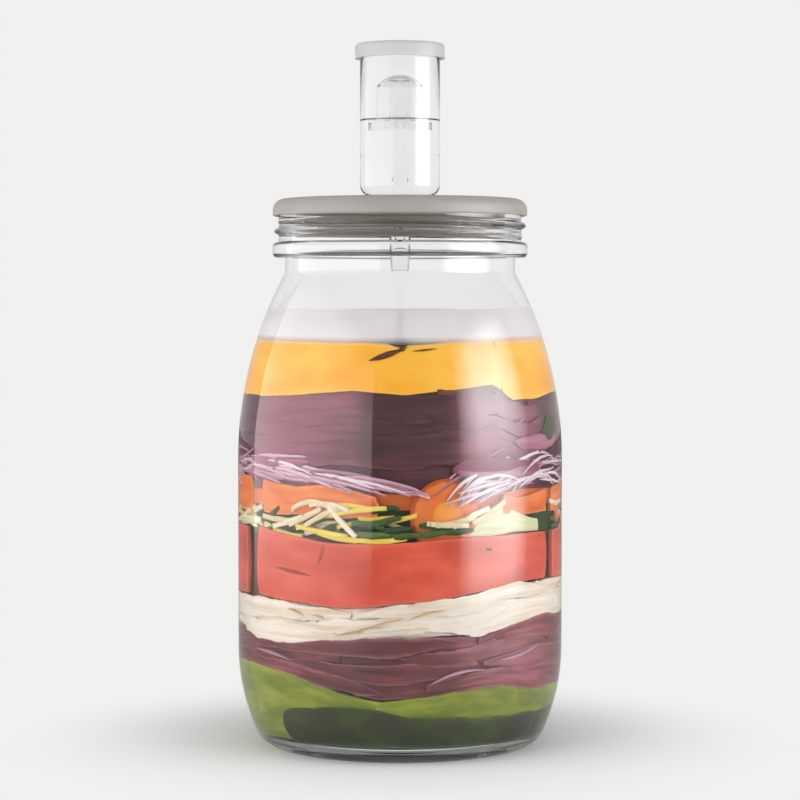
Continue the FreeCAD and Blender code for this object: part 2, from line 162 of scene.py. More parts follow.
def clear(name, tint, bend, wave=0.0, roughness=0.0):
    """A clear material. Lamps and soft light go straight through it to what is inside."""
    colour = (*tint, 1)
    material, tree, shader = new_material(name, {
        "Base Color": colour, "Roughness": roughness, "IOR": bend, "Transmission Weight": 1})
    place = add(tree, "TexCoord")
    ripple = add(tree, "TexNoise", {"Vector": (place, "Object"), "Scale": 45, "Detail": 1})
    bump = add(tree, "Bump", {"Height": (ripple, "Fac"), "Strength": wave, "Distance": 0.001})
    put(shader, {"Normal": (bump, "Normal")})
    through = add(tree, "BsdfTransparent", {"Color": colour})
    path = add(tree, "LightPath")
    soft = add(tree, "MixShader", {0: (path, "Is Diffuse Ray"), 1: (shader, "BSDF"), 2: (through, "BSDF")})
    lamp = add(tree, "MixShader", {0: (path, "Is Shadow Ray"), 1: (soft, "Shader"), 2: (through, "BSDF")})
    put(tree.nodes["Material Output"], {"Surface": (lamp, "Shader")})
    return material


heel = (BODY_RADIUS - HEEL_CURVE, HEEL_HEIGHT)
shoulder = (BODY_RADIUS - SHOULDER_CURVE, SHOULDER_HEIGHT)
neck = (MOUTH_RADIUS + GLASS_WALL + NECK_CURVE, NECK_HEIGHT)
foot_reach = math.sqrt((HEEL_CURVE - HEEL_CORNER) ** 2 - (HEEL_HEIGHT - HEEL_CORNER) ** 2)
foot = (heel[0] + foot_reach, HEEL_CORNER)
floor_drop = HEEL_HEIGHT - FLOOR - INSIDE_CORNER
floor_reach = math.sqrt((HEEL_CURVE - GLASS_WALL - INSIDE_CORNER) ** 2 - floor_drop ** 2)
corner = (heel[0] + floor_reach, FLOOR + INSIDE_CORNER)
neck_turn = slope(shoulder, neck)
inside_curve = SHOULDER_CURVE - GLASS_WALL
brine_turn = math.degrees(math.asin((BRINE_LEVEL - SHOULDER_HEIGHT) / inside_curve))
finish_step = (RIM - EDGE_ROUND - BEAD_TOP) / THREAD_ROWS
glass_outline = [
    *dome((foot[0] - BEARING_WIDTH, 0.0), PUSH_UP, 10, True),
    *arc(foot, HEEL_CORNER, -90, slope(heel, foot), 14),
    *arc(heel, HEEL_CURVE, slope(heel, foot), 0, 12)[1:],
    *arc(shoulder, SHOULDER_CURVE, 0, neck_turn, 26),
    *arc(neck, NECK_CURVE, 180 + neck_turn, 180, 6)[1:],
    (MOUTH_RADIUS + GLASS_WALL, BEAD_BOTTOM),
    *arc((BEAD_RADIUS - EDGE_ROUND, BEAD_BOTTOM + EDGE_ROUND), EDGE_ROUND, -90, 0, 5),
    *arc((BEAD_RADIUS - EDGE_ROUND, BEAD_TOP - EDGE_ROUND), EDGE_ROUND, 0, 90, 5),
    *((FINISH_RADIUS, BEAD_TOP + finish_step * row) for row in range(THREAD_ROWS)),
    *arc((FINISH_RADIUS - EDGE_ROUND, RIM - EDGE_ROUND), EDGE_ROUND, 0, 90, 5),
    *arc((MOUTH_RADIUS + EDGE_ROUND, RIM - EDGE_ROUND), EDGE_ROUND, 90, 180, 5),
    *arc(neck, NECK_CURVE + GLASS_WALL, 180, 180 + neck_turn, 6),
    *arc(shoulder, inside_curve, neck_turn, brine_turn, 6)[1:],
    *arc(shoulder, inside_curve, brine_turn, 0, 20)[1:],
    *arc(heel, HEEL_CURVE - GLASS_WALL, 0, slope(heel, corner), 12),
    *arc(corner, INSIDE_CORNER, slope(heel, corner), -90, 12)[1:],
    *dome((corner[0], FLOOR), PUSH_UP, 10, False)[1:],
]
glass = turned("clear_glass_jar", glass_outline, GLASS_TURNS, sharp=50)
for vertex in glass.data.vertices:
    radius = math.hypot(vertex.co.x, vertex.co.y)
    turn = math.atan2(vertex.co.y, vertex.co.x) / math.tau + 0.5
    ridge = 0.0
    if radius > FINISH_RADIUS - HAIR and vertex.co.z > BEAD_TOP:
        for lap in range(2):
            run = turn + lap
            rise = vertex.co.z - (THREAD_TOP - THREAD_PITCH * run)
            fade = min(1.0, run * THREAD_FADE, (THREAD_TURNS - run) * THREAD_FADE)
            crest = max(0.0, 1 - (rise / THREAD_HALF) ** 2)
            ridge = max(ridge, THREAD_REACH * max(0.0, fade) * crest)
    elif vertex.co.z < KNURL_HEIGHT and radius > foot[0] + HAIR:
        ridge = KNURL_DEPTH * math.cos(turn * math.tau * GLASS_TURNS / 2) - KNURL_DEPTH
    vertex.co.x *= (radius + ridge) / max(radius, WELD)
    vertex.co.y *= (radius + ridge) / max(radius, WELD)
glass.data.materials.append(clear("clear glass", (0.992, 0.998, 0.995), GLASS_BEND, wave=0.02))
glass.data.materials.append(clear("wet glass", (0.99, 0.99, 0.99), GLASS_BEND / WATER_BEND))
for face in glass.data.polygons:
    outwards = face.normal.x * face.center.x + face.normal.y * face.center.y
    wall = outwards < -WELD and face.normal.z > -0.7
    floor = face.normal.z > 0.6 and face.center.z < FLOOR_ZONE
    face.material_index = int((wall or floor) and face.center.z < BRINE_LEVEL)
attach(glass, "jar")
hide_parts("glass_jar")

# Green pepper: wide pieces of green pepper, the first to go in. Their paler flesh shows
# above and the dark skin of the lowest ones lies against the glass.
FOOD_GAP = 0.0006
FOOD_BEVEL = 0.0006
FOOD_GRID = 0.003
FOOD_COLUMNS = 6
FOOD_GLOSS = 0.2
WAVES = 55
NICKS = 260
NICK_SHARE = 0.35
DENT_SHARE = 0.6
MIDDLE_SHARE = 0.94
MIDDLE_TONE = 0.2
FOOD_FLOOR = ((0, 0.0078),)
GREEN_TOP = (
    (-130, 0.038), (-69, 0.0415), (-44, 0.0396), (-24, 0.0334), (-8, 0.0296), (3, 0.0302),
    (16, 0.0324), (29, 0.0351), (44, 0.0344), (85, 0.0295), (130, 0.033), (175, 0.037),
)
SKIN_TOP = (
    (-52, 0.02), (-44, 0.024), (-31, 0.0262), (-8, 0.0258), (3, 0.0226), (16, 0.0224),
    (35, 0.0205), (90, 0.02),
)
SKIN_TONES = ((0, 0.45),)
TONE_DRIFT = 0.35
TONE_PATCHES = 35
chance = random.Random(5)
noise.seed_set(5)


def srgb(red, green, blue):
    """A colour from the usual 0 to 255 figures."""
    return tuple((value / 255) ** 2.2 for value in (red, green, blue))


def ramped(tree, source, *stops):
    """A colour ramp on another node's output, through its stops: each a place and a colour."""
    ramp = add(tree, "ValToRGB", {"Fac": source})
    ramp.color_ramp.elements[1].position = stops[-1][0]
    ramp.color_ramp.elements[0].position = stops[0][0]
    for place, colour in stops[1:-1]:
        ramp.color_ramp.elements.new(place)
    for stop, (place, colour) in zip(ramp.color_ramp.elements, stops):
        stop.color = (*colour, 1)
    return ramp


grain = bpy.data.node_groups.new("cut grain", "ShaderNodeTree")
for side, sockets in (("INPUT", ("Along", "Across")), ("OUTPUT", ("Streaks", "Tone", "Rim"))):
    for socket in sockets:
        grain.interface.new_socket(socket, in_out=side, socket_type="NodeSocketFloat")
asked = grain.nodes.new("NodeGroupInput")
given = grain.nodes.new("NodeGroupOutput")
flat = add(grain, "UVMap", uv_map="flat")
tone = add(grain, "Attribute", attribute_name="tone")
rim = add(grain, "Attribute", attribute_name="rim")
stretch = add(grain, "CombineXYZ", {"X": (asked, "Along"), "Y": (asked, "Across")})
drawn = add(grain, "VectorMath", {0: (flat, "UV"), 1: (stretch, "Vector")}, operation="MULTIPLY")
streaks = add(
    grain, "TexNoise", {"Vector": (drawn, "Vector"), "Scale": 1, "Detail": 5, "Roughness": 0.6})
contrast = add(grain, "MapRange", {"Value": (streaks, "Fac"), "From Min": 0.3, "From Max": 0.7})
narrow = add(grain, "Math", {0: (rim, "Fac"), 1: 4}, operation="POWER")
put(given, {"Streaks": (contrast, "Result"), "Tone": (tone, "Fac"), "Rim": (narrow, "Value")})


def food(name, dark, middle, pale, along, across, share=0.5, roughness=0.5, cut_edge=0.5):
    """Wet cut food: streaks along the piece, a tone of its own and paler cut edges."""
    material, tree, shader = new_material(
        name, {"Roughness": roughness, "Specular IOR Level": FOOD_GLOSS})
    lines = add(tree, "Group", {"Along": along, "Across": across}, node_tree=grain)
    mixed = add(tree, "Mix", {0: share, 2: (lines, "Streaks"), 3: (lines, "Tone")})
    ramp = ramped(tree, (mixed, 0), (0.1, srgb(*dark)), (0.5, srgb(*middle)), (0.9, srgb(*pale)))
    faint = add(tree, "Math", {0: (lines, "Rim"), 1: cut_edge}, operation="MULTIPLY")
    inside = (*(value ** 0.7 for value in srgb(*pale)), 1)
    bare = add(tree, "Mix", {0: (faint, "Value"), 6: (ramp, "Color"), 7: inside}, data_type="RGBA")
    bump = add(tree, "Bump", {"Height": (lines, "Streaks"), "Strength": 0.3, "Distance": 0.0006})
    put(shader, {"Base Color": (bare, 2), "Normal": (bump, "Normal")})
    return material


def toned(piece, tone):
    """Gives every point of a piece the same tone."""
    kept = piece.data.attributes.get("tone") or piece.data.attributes.new("tone", "FLOAT", "POINT")
    kept.data.foreach_set("value", [tone] * len(piece.data.vertices))
    return piece


def at_turn(points, turn):
    """The height or tone at one turn round the jar, on the line through (turn, value) points."""
    turn = (turn - points[0][0]) % 360 + points[0][0]
    ring = (*points, (points[0][0] + 360, points[0][1]))
    for (here, low), (there, high) in zip(ring, ring[1:]):
        if turn <= there:
            return low + (high - low) * (turn - here) / (there - here)


def graded(piece, tones):
    """Gives each point of a piece the tone of its turn round the jar, with a soft drift."""
    kept = piece.data.attributes["tone"].data
    for vertex in piece.data.vertices:
        turn = math.degrees(math.atan2(vertex.co.x, -vertex.co.y))
        drift = TONE_DRIFT * noise.noise(vertex.co * TONE_PATCHES)
        kept[vertex.index].value = at_turn(tones, turn) + drift
    return piece


def cut(width, height, thickness, finish, rounding, ragged, taper=0.0, bevel=0.0):
    """A flat cut piece: its outer face on the X-Z plane, its thickness along +Y."""
    columns = max(FOOD_COLUMNS, round(width / FOOD_GRID))
    rows = max(1, round(height / FOOD_GRID))
    bpy.ops.object.select_all(action="DESELECT")
    bpy.ops.mesh.primitive_grid_add(
        x_subdivisions=columns, y_subdivisions=rows, size=2, rotation=(math.pi / 2, 0, 0))
    bpy.ops.object.transform_apply(location=True, rotation=True, scale=True)
    piece = bpy.context.object
    seed = chance.uniform(0, 90)
    rim = piece.data.attributes.new("rim", "FLOAT", "POINT")
    for vertex in piece.data.vertices:
        across, up = vertex.co.x, vertex.co.z
        rim.data[vertex.index].value = float(rows > 1 and max(abs(across), abs(up)) > 0.999)
        narrowed = math.sqrt(1 - rounding * up * up / 2)
        lowered = math.sqrt(1 - rounding * across * across / 2)
        spot = Vector((
            width / 2 * across * narrowed, 0,
            height / 2 * up * lowered * (1 - taper * across * across)))
        wide = noise.noise_vector(spot * WAVES + Vector((seed, 0, seed)))
        fine = noise.noise_vector(spot * NICKS + Vector((0, seed, seed)))
        shift = (wide + fine * NICK_SHARE) * ragged
        vertex.co = (spot.x + shift.x, abs(shift.y) * DENT_SHARE, spot.z + shift.z)
    layout = piece.data.uv_layers[0]
    layout.name = "flat"
    for loop in piece.data.loops:
        spot = piece.data.vertices[loop.vertex_index].co
        layout.data[loop.index].uv = (spot.x + seed, spot.z)
    wall = piece.modifiers.new("thickness", "SOLIDIFY")
    wall.thickness = thickness
    wall.offset = -1
    bpy.ops.object.modifier_apply(modifier=wall.name)
    if bevel:
        edge_round = piece.modifiers.new("edges", "BEVEL")
        edge_round.width = bevel
        edge_round.segments = 2
        edge_round.angle_limit = math.radians(50)
        bpy.ops.object.modifier_apply(modifier=edge_round.name)
    bpy.ops.object.shade_smooth()
    piece.data.materials.append(finish)
    return toned(piece, chance.random())


def inner_wall(height):
    """The inside radius of the glass at one height."""
    if height < corner[1] + INSIDE_CORNER * math.sin(math.radians(slope(heel, corner))):
        drop = min(corner[1] - height, INSIDE_CORNER)
        return corner[0] + math.sqrt(INSIDE_CORNER ** 2 - drop ** 2)
    if height < HEEL_HEIGHT:
        return heel[0] + math.sqrt((HEEL_CURVE - GLASS_WALL) ** 2 - (HEEL_HEIGHT - height) ** 2)
    rise = max(0.0, height - SHOULDER_HEIGHT)
    return shoulder[0] + math.sqrt(inside_curve ** 2 - rise ** 2)


def fill(span, band, finish, thickness, depth, shares=(0.0, 1.0), ragged=0.001, rounding=0.1):
    """A piece on the wall from one turn to another, between a band's two wavy edges."""
    start, end = span
    low, high = band
    middle = (start + end) / 2
    width = math.radians(end - start) * BODY_RADIUS
    height = (at_turn(high, middle) - at_turn(low, middle)) * (shares[1] - shares[0])
    piece = cut(width, height, thickness, finish, rounding, ragged, bevel=FOOD_BEVEL)
    for vertex in piece.data.vertices:
        x, y, z = vertex.co
        turn = middle + (end - start) / 2 * x / (width / 2)
        bottom, top = at_turn(low, turn), at_turn(high, turn)
        share = shares[0] + (shares[1] - shares[0]) * (0.5 + z / height)
        up = bottom + (top - bottom) * share
        reach = inner_wall(up) - FOOD_GAP - depth - y
        angle = math.radians(turn)
        vertex.co = (reach * math.sin(angle), -reach * math.cos(angle), up)
    return piece


def packed(name, pieces, node, finish):
    """Joins a layer's pieces with its packed middle, which stands in for the node."""
    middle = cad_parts[node].copy()
    middle.data = middle.data.copy()
    middle.parent = None
    scene.collection.objects.link(middle)
    middle.data.materials.clear()
    middle.data.materials.append(finish)
    bpy.ops.object.select_all(action="DESELECT")
    middle.select_set(True)
    bpy.context.view_layer.objects.active = middle
    bpy.ops.object.mode_set(mode="EDIT")
    bpy.ops.mesh.select_all(action="SELECT")
    bpy.ops.mesh.remove_doubles(threshold=WELD)
    bpy.ops.transform.resize(value=(MIDDLE_SHARE, MIDDLE_SHARE, 1), center_override=(0, 0, 0))
    bpy.ops.object.mode_set(mode="OBJECT")
    toned(middle, MIDDLE_TONE)
    for piece in pieces:
        piece.select_set(True)
    bpy.context.view_layer.objects.active = pieces[0]
    bpy.ops.object.join()
    layer = bpy.context.object
    layer.name = name
    layer.data.name = name
    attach(layer, "jar")
    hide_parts(node)


green_skin = food("green pepper skin", (24, 34, 6), (40, 52, 10), (66, 84, 20), 60, 140, cut_edge=0.25)
green_flesh = food(
    "green pepper flesh", (82, 98, 18), (112, 126, 26), (146, 156, 50), 40, 160, 0.25, cut_edge=0.3)
green = []
for span in ((-130, -66), (-70, -6), (-9, 50), (47, 112), (110, 172), (168, 232)):
    band = (FOOD_FLOOR, GREEN_TOP)
    green.append(fill(span, band, green_flesh, thickness=0.004, depth=0.0014, ragged=0.0014))
for span in ((-50, 62), (58, 112), (108, 164), (160, 224)):
    band = (FOOD_FLOOR, SKIN_TOP)
    skin = fill(span, band, green_skin, thickness=0.003, depth=0.0002, ragged=0.0012)
    green.append(graded(skin, SKIN_TONES))
packed("green_pepper_pieces", green, "green_pepper_layer", green_skin)

# Red cabbage: thick wads of leaf, pressed down flat on the green pepper. Wide pieces back
# them round the wall, thin cut leaves lie over these in rows, and pale veins show.
RED_CABBAGE_TOP = (
    (-130, 0.056), (-74, 0.0565), (-62, 0.0525), (-44, 0.0532), (-24, 0.054), (-8, 0.0562),
    (16, 0.0573), (29, 0.0577), (44, 0.0615), (57, 0.0626), (83, 0.0616), (130, 0.06), (175, 0.057),
)
RED_BAND = (GREEN_TOP, RED_CABBAGE_TOP)
RED_ROWS = ((-0.03, 0.34), (0.26, 0.58), (0.5, 0.8), (0.72, 1.02))
# Painted light: tones round the jar that make the wads lighter where the lamps' reflections fall on the
# glass, most of all to the right. Between those reflections the middle is darker as painted shade.
RED_PAINTED_SHINE = (
    (-130, 0.4), (-60, 0.5), (-24, 0.5), (-14, 0.2), (12, 0.2), (24, 0.85), (58, 0.85), (70, 0.4),
    (175, 0.4),
)


def backing(band, finish, start, depth):
    """Five wide pieces right round the wall, behind the cut pieces of a layer."""
    pieces = []
    for step in range(5):
        turn = start + step * 72
        pieces.append(fill((turn, turn + 76), band, finish, thickness=0.003, depth=depth))
    return pieces


def twin(piece):
    """A copy of a piece with a mesh and a tone of its own."""
    other = piece.copy()
    other.data = piece.data.copy()
    scene.collection.objects.link(other)
    return toned(other, chance.random())


def press(piece, turn, height, tilt=0.0, depth=0.0, bow=0.0):
    """Lays a flat piece against the glass: its X runs round the wall and its Y inwards."""
    lean = math.radians(tilt)
    half = max(abs(vertex.co.x) for vertex in piece.data.vertices)
    for vertex in piece.data.vertices:
        x, y, z = vertex.co
        z += bow * (1 - (x / half) ** 2)
        up = height + x * math.sin(lean) + z * math.cos(lean)
        along = x * math.cos(lean) - z * math.sin(lean)
        wall = inner_wall(up)
        angle = math.radians(turn) + along / wall
        reach = wall - FOOD_GAP - depth - y
        vertex.co = (reach * math.sin(angle), -reach * math.cos(angle), up)
    return piece


cabbage_red = food("red cabbage", (62, 26, 24), (106, 52, 52), (164, 88, 98), 40, 330)
cabbage_vein = food(
    "red cabbage vein", (150, 96, 120), (186, 140, 160), (214, 182, 196), 60, 500, share=0.4)
wads = backing(RED_BAND, cabbage_red, start=-108, depth=0.0024)
for row, shares in enumerate(RED_ROWS):
    for step in range(5):
        start = step * 72 + row * 31 + chance.uniform(-10, 10)
        span = (start, start + chance.uniform(62, 84))
        depth = chance.uniform(0.0001, 0.0016)
        wads.append(fill(span, RED_BAND, cabbage_red, 0.0016, depth, shares, ragged=0.0019, rounding=0.9))
# Paints the reflection bands and the shaded middle into the wads' tones.
for wad in wads:
    graded(wad, RED_PAINTED_SHINE)
vein = cut(0.028, 0.0013, 0.0009, cabbage_vein, rounding=0.3, ragged=0.0006, taper=0.85)
for turn, height, tilt, bow in (
    (21, 0.0392, 12, 0.0022), (-52, 0.0462, -6, 0.001), (48, 0.048, 10, -0.001),
    (120, 0.045, 8, 0.002), (170, 0.049, -7, 0.002), (215, 0.046, 9, -0.002),
    (258, 0.05, -6, 0.002),
):
    wads.append(press(twin(vein), turn, height, tilt, bow=bow))
bpy.data.objects.remove(vein)
packed("red_cabbage_wads", wads, "red_cabbage_layer", cabbage_red)

# White cabbage: long ribbons cut from the head, laid one over the other along the wall on
# a wide backing, with a few yellowish fibres on them.
WHITE_CABBAGE_TOP = (
    (-130, 0.07), (-69, 0.0704), (-59, 0.0712), (-38, 0.0699), (-22, 0.0691), (-13, 0.0695),
    (0, 0.0712), (16, 0.0729), (27, 0.0754), (44, 0.0786), (83, 0.0775), (130, 0.076), (175, 0.072),
)
WHITE_BAND = (RED_CABBAGE_TOP, WHITE_CABBAGE_TOP)
WHITE_ROWS = ((-0.05, 0.44), (0.3, 0.72), (0.58, 1.03))
WHITE_TONE = 0.3
cabbage_white = food("white cabbage", (214, 194, 160), (236, 225, 204), (246, 240, 228), 18, 330, 0.25)
cabbage_fibre = food("cabbage fibre", (184, 140, 86), (206, 166, 112), (222, 190, 142), 60, 500)
ribbons = backing(WHITE_BAND, cabbage_white, start=-100, depth=0.0026)
for ribbon in ribbons:
    toned(ribbon, WHITE_TONE)
for row, shares in enumerate(WHITE_ROWS):
    for step in range(4):
        start = step * 90 + row * 37 + chance.uniform(-12, 12)
        span = (start, start + chance.uniform(80, 108))
        depth = chance.uniform(0.0001, 0.0016)
        ribbon = fill(span, WHITE_BAND, cabbage_white, 0.0014, depth, shares, ragged=0.0022, rounding=0.9)
        ribbons.append(ribbon)
for turn, height, long, tilt in (
    (-18, 0.0582, 0.02, 10), (-5, 0.0628, 0.026, 13), (9, 0.0668, 0.024, 15), (-11, 0.0604, 0.018, 9),
    (-40, 0.0664, 0.013, -14), (-30, 0.065, 0.009, -10), (110, 0.069, 0.024, 9),
    (165, 0.065, 0.026, -8), (225, 0.064, 0.022, 10),
):
    fibre = cut(long, 0.0007, 0.0005, cabbage_fibre, rounding=0.95, ragged=0.0004, taper=0.8)
    ribbons.append(press(fibre, turn, height, tilt, bow=0.0008))
packed("white_cabbage_ribbons", ribbons, "white_cabbage_layer", cabbage_white)

# Red pepper: broad flat pieces of ripe pepper, skin outwards, set side by side so that
# they cover the wall. A few bruises mark the skin.
RED_PEPPER_TOP = (
    (-130, 0.1005), (-59, 0.1029), (-44, 0.1006), (-30, 0.0982), (-16, 0.0978), (0, 0.0984),
    (12, 0.0993), (24, 0.1003), (62, 0.1005), (130, 0.1), (175, 0.101),
)
PEPPER_THICKNESS = 0.0045


def bruise_and_shadow_mark(turn, height, long, wide, tilt, finish):
    """A thin mark on a pepper's skin, drawn out to points: a bruise, or a sliver of painted shadow."""
    sliver = cut(long, wide, 0.0005, finish, rounding=0.95, ragged=0.0006, taper=0.85)
    return press(sliver, turn, height, tilt)


pepper_red = food(
    "red pepper skin", (184, 62, 42), (212, 82, 58), (230, 104, 80), 30, 60, share=0.3, roughness=0.4)
pepper_bruise = food(
    "red pepper bruise", (132, 50, 36), (158, 60, 44), (190, 76, 56), 60, 500, 0.6, roughness=0.45)
pepper_inside_and_shadow = food(
    "red pepper inside", (70, 38, 22), (96, 52, 30), (120, 72, 40), 60, 300, share=0.3, cut_edge=0.1)
broad = []
for span in ((-62, 65), (70, 118), (119, 170), (171, 226), (227, 290)):
    band = (WHITE_CABBAGE_TOP, RED_PEPPER_TOP)
    broad.append(fill(span, band, pepper_red, PEPPER_THICKNESS, 0.0002, (0.02, 0.99), ragged=0.0006))
for turn, height, long, wide, tilt, finish in (
    (-42, 0.0842, 0.031, 0.0017, -6, pepper_bruise), (-29, 0.0925, 0.013, 0.0016, 74, pepper_bruise),
    (33, 0.0945, 0.005, 0.0012, -14, pepper_inside_and_shadow), (95, 0.09, 0.018, 0.0018, 5, pepper_bruise),
    (200, 0.086, 0.022, 0.002, -6, pepper_bruise), (260, 0.093, 0.014, 0.0016, 4, pepper_bruise),
):
    broad.append(bruise_and_shadow_mark(turn, height, long, wide, tilt, finish))
packed("red_pepper_pieces", broad, "red_pepper_layer", pepper_inside_and_shadow)

# Mixed greens: short sticks of cabbage stalk, yellow pepper and dark green leek, strewn
# over the red pepper with a few pale leaves. Those at the front are laid one by one.
LEAF_TOP = (
    (-60, 0.106), (20, 0.108), (28, 0.1112), (40, 0.1128), (54, 0.107), (70, 0.104), (160, 0.111),
)
STREWN_STICKS = 150
STICK_STEP = 2.4
FRONT_START = -10
FRONT_END = 66
stalk = food("pale stalk", (208, 184, 130), (236, 218, 176), (248, 240, 216), 60, 400)
pale_leaf = food("pale leaf", (176, 182, 122), (206, 210, 160), (226, 226, 192), 40, 240, share=0.3)
yellow_stick = food(
    "yellow stick", (206, 170, 50), (230, 200, 72), (242, 220, 110), 60, 300, roughness=0.45)
leek = food("dark leek", (34, 52, 22), (60, 84, 36), (108, 130, 58), 60, 500)
sticks = []
for span in ((22, 60), (128, 170), (200, 236), (280, 300)):
    band = (RED_PEPPER_TOP, LEAF_TOP)
    sticks.append(fill(span, band, pale_leaf, thickness=0.0014, depth=0.0016, ragged=0.0016))
moulds = {
    "stalk": cut(0.022, 0.0023, 0.0016, stalk, rounding=0.5, ragged=0.0008),
    "yellow": cut(0.03, 0.0021, 0.0016, yellow_stick, rounding=0.5, ragged=0.0008),
    "leek": cut(0.018, 0.0034, 0.0012, leek, rounding=0.5, ragged=0.002, taper=0.4),
}
for step in range(STREWN_STICKS):
    turn = step * STICK_STEP + chance.uniform(-4, 4)
    kind = chance.choice(("stalk", "stalk", "yellow", "leek", "leek"))
    height = chance.uniform(0.101, 0.113)
    if not FRONT_START < turn < FRONT_END:
        stick = twin(moulds[kind])
        tilt = chance.uniform(-24, 24)
        depth = chance.uniform(0.001, 0.004)
        bow = chance.uniform(-0.002, 0.003)
        sticks.append(press(stick, turn, height, tilt, depth, bow))
for kind, places in (
    ("yellow", ((-20, 0.1003, -6, -0.001), (-8, 0.0997, 1, -0.001), (-29, 0.1022, -8, 0.0))),
    ("leek", (
        (-10, 0.1012, -3, 0.0), (0, 0.1008, 2, 0.0), (10, 0.1015, 5, 0.0), (-12, 0.105, -8, 0.001),
        (-2, 0.1035, 4, 0.0), (12, 0.1042, -5, 0.001), (-6, 0.107, 12, 0.0), (20, 0.1025, 3, 0.0))),
    ("stalk", (
        (-34, 0.1125, 8, 0.003), (-26, 0.1128, -6, 0.002), (-36, 0.1085, 24, 0.0),
        (-29, 0.1085, 26, 0.001), (-21, 0.1075, -46, 0.0), (-50, 0.107, -3, 0.0), (-44, 0.106, 16, 0.0),
        (20, 0.1072, 10, 0.0), (26, 0.1085, 24, 0.001), (17, 0.106, -4, 0.0), (33, 0.1105, 28, 0.0))),
    ("yellow", ((-15, 0.111, 8, 0.001),)),
):
    for turn, height, tilt, bow in places:
        sticks.append(press(twin(moulds[kind]), turn, height, tilt, bow=bow))
for mould in moulds.values():
    bpy.data.objects.remove(mould)
packed("mixed_green_sticks", sticks, "mixed_greens_layer", leek)

# Carrot: coins and long slices cut from the root and set against the glass. The coins
# show the paler heart of the root, with a darker ring round it.
COIN_RADIUS = 0.0166
COIN_THICKNESS = 0.0045
COIN_SIDES = 40
COIN_RINGS = (0.08, 0.3, 0.3)
COIN_RIM = 0.97
COIN_RIM_SHARE = 0.7
SLICE_FOOT = ((0, 0.1085),)
SLICE_TOP = (
    (-120, 0.124), (-64, 0.1245), (-40, 0.1213), (-26, 0.1231), (-9, 0.1185), (3, 0.116),
    (29, 0.1195), (50, 0.1165), (75, 0.12), (130, 0.123), (190, 0.12),
)
carrot_slice = food(
    "carrot slice", (204, 92, 36), (230, 120, 54), (242, 152, 88), 40, 260, 0.35, roughness=0.45)
carrot_coin, tree, shader = new_material(
    "carrot coin", {"Roughness": 0.45, "Specular IOR Level": FOOD_GLOSS})
flat = add(tree, "UVMap", uv_map="flat")
reach = add(tree, "VectorMath", {0: (flat, "UV")}, operation="LENGTH")
mottle = add(tree, "TexNoise", {"Vector": (flat, "UV"), "Scale": 5})
wander = add(tree, "Math", {0: (mottle, "Fac"), 1: 0.16, 2: (reach, "Value")}, operation="MULTIPLY_ADD")
ramp = ramped(
    tree, (wander, "Value"), (0.0, srgb(240, 158, 70)), (0.42, srgb(238, 150, 64)),
    (0.52, srgb(222, 112, 44)), (0.95, srgb(232, 126, 58)), (1.0, srgb(196, 88, 36)))
put(shader, {"Base Color": (ramp, "Color")})

bpy.ops.object.select_all(action="DESELECT")
bpy.ops.mesh.primitive_cylinder_add(
    vertices=COIN_SIDES, radius=COIN_RADIUS, depth=COIN_THICKNESS,
    location=(0, COIN_THICKNESS / 2, 0), rotation=(math.pi / 2, 0, 0))
bpy.ops.object.transform_apply(location=True, rotation=True, scale=True)
coin = bpy.context.object
for face in coin.data.polygons:
    face.select = abs(face.normal.y) > 0.9
bpy.ops.object.mode_set(mode="EDIT")
for ring in COIN_RINGS:
    bpy.ops.mesh.inset(thickness=COIN_RADIUS * ring)
bpy.ops.mesh.poke()
bpy.ops.object.mode_set(mode="OBJECT")
layout = coin.data.uv_layers[0]
layout.name = "flat"
for vertex in coin.data.vertices:
    if math.hypot(vertex.co.x, vertex.co.z) > COIN_RADIUS * COIN_RIM:
        vertex.co.y = COIN_THICKNESS / 2 + (vertex.co.y - COIN_THICKNESS / 2) * COIN_RIM_SHARE
for loop in coin.data.loops:
    spot = coin.data.vertices[loop.vertex_index].co
    layout.data[loop.index].uv = (spot.x / COIN_RADIUS, spot.z / COIN_RADIUS)
bpy.ops.object.shade_smooth()
coin.data.materials.append(carrot_coin)
coins = []
for turn, height in ((17, 0.1092), (88, 0.108), (136, 0.111), (205, 0.1085), (258, 0.11)):
    coins.append(press(twin(coin), turn, height, chance.uniform(-30, 30), depth=0.0012))
bpy.data.objects.remove(coin)
for span in ((-118, -66), (-59, -8), (40, 66), (70, 112), (152, 196), (215, 240)):
    band = (SLICE_FOOT, SLICE_TOP)
    coins.append(fill(span, band, carrot_slice, thickness=0.0045, depth=0.0016, ragged=0.0012))
packed("carrot_slices", coins, "carrot_layer", carrot_slice)

# Red onion: long thin shreds of red onion, combed round the wall, that trail up into the
# layer above. They lie loose at the back, in a sheaf at the left and fanned at the right.
BACK_SHREDS = 190
LEFT_SHREDS = 64
RIGHT_SHREDS = 34
onion_pink = food(
    "red onion", (150, 92, 110), (200, 152, 168), (232, 206, 214), 40, 900, 0.6, roughness=0.45)
onion_white = food(
    "onion heart", (206, 176, 190), (230, 210, 218), (244, 234, 238), 40, 900, roughness=0.45)
shreds = []
moulds = {}
for kind, long, wide, thickness, finish in (
    ("long", 0.05, 0.0017, 0.0009, onion_pink),
    ("short", 0.038, 0.0013, 0.0008, onion_pink),
    ("heart", 0.034, 0.0013, 0.0008, onion_white),
):
    moulds[kind] = cut(long, wide, thickness, finish, rounding=0.7, ragged=0.0009, taper=0.6)
for step in range(BACK_SHREDS):
    turn = 66 + step * 1.27 + chance.uniform(-5, 5)
    shred = twin(moulds[chance.choice(("long", "long", "short", "short", "heart"))])
    height = chance.uniform(0.1205, 0.1345)
    tilt = chance.uniform(-12, 10)
    depth = chance.uniform(0.0004, 0.004)
    bow = chance.uniform(-0.003, 0.004)
    shreds.append(press(shred, turn, height, tilt, depth, bow))
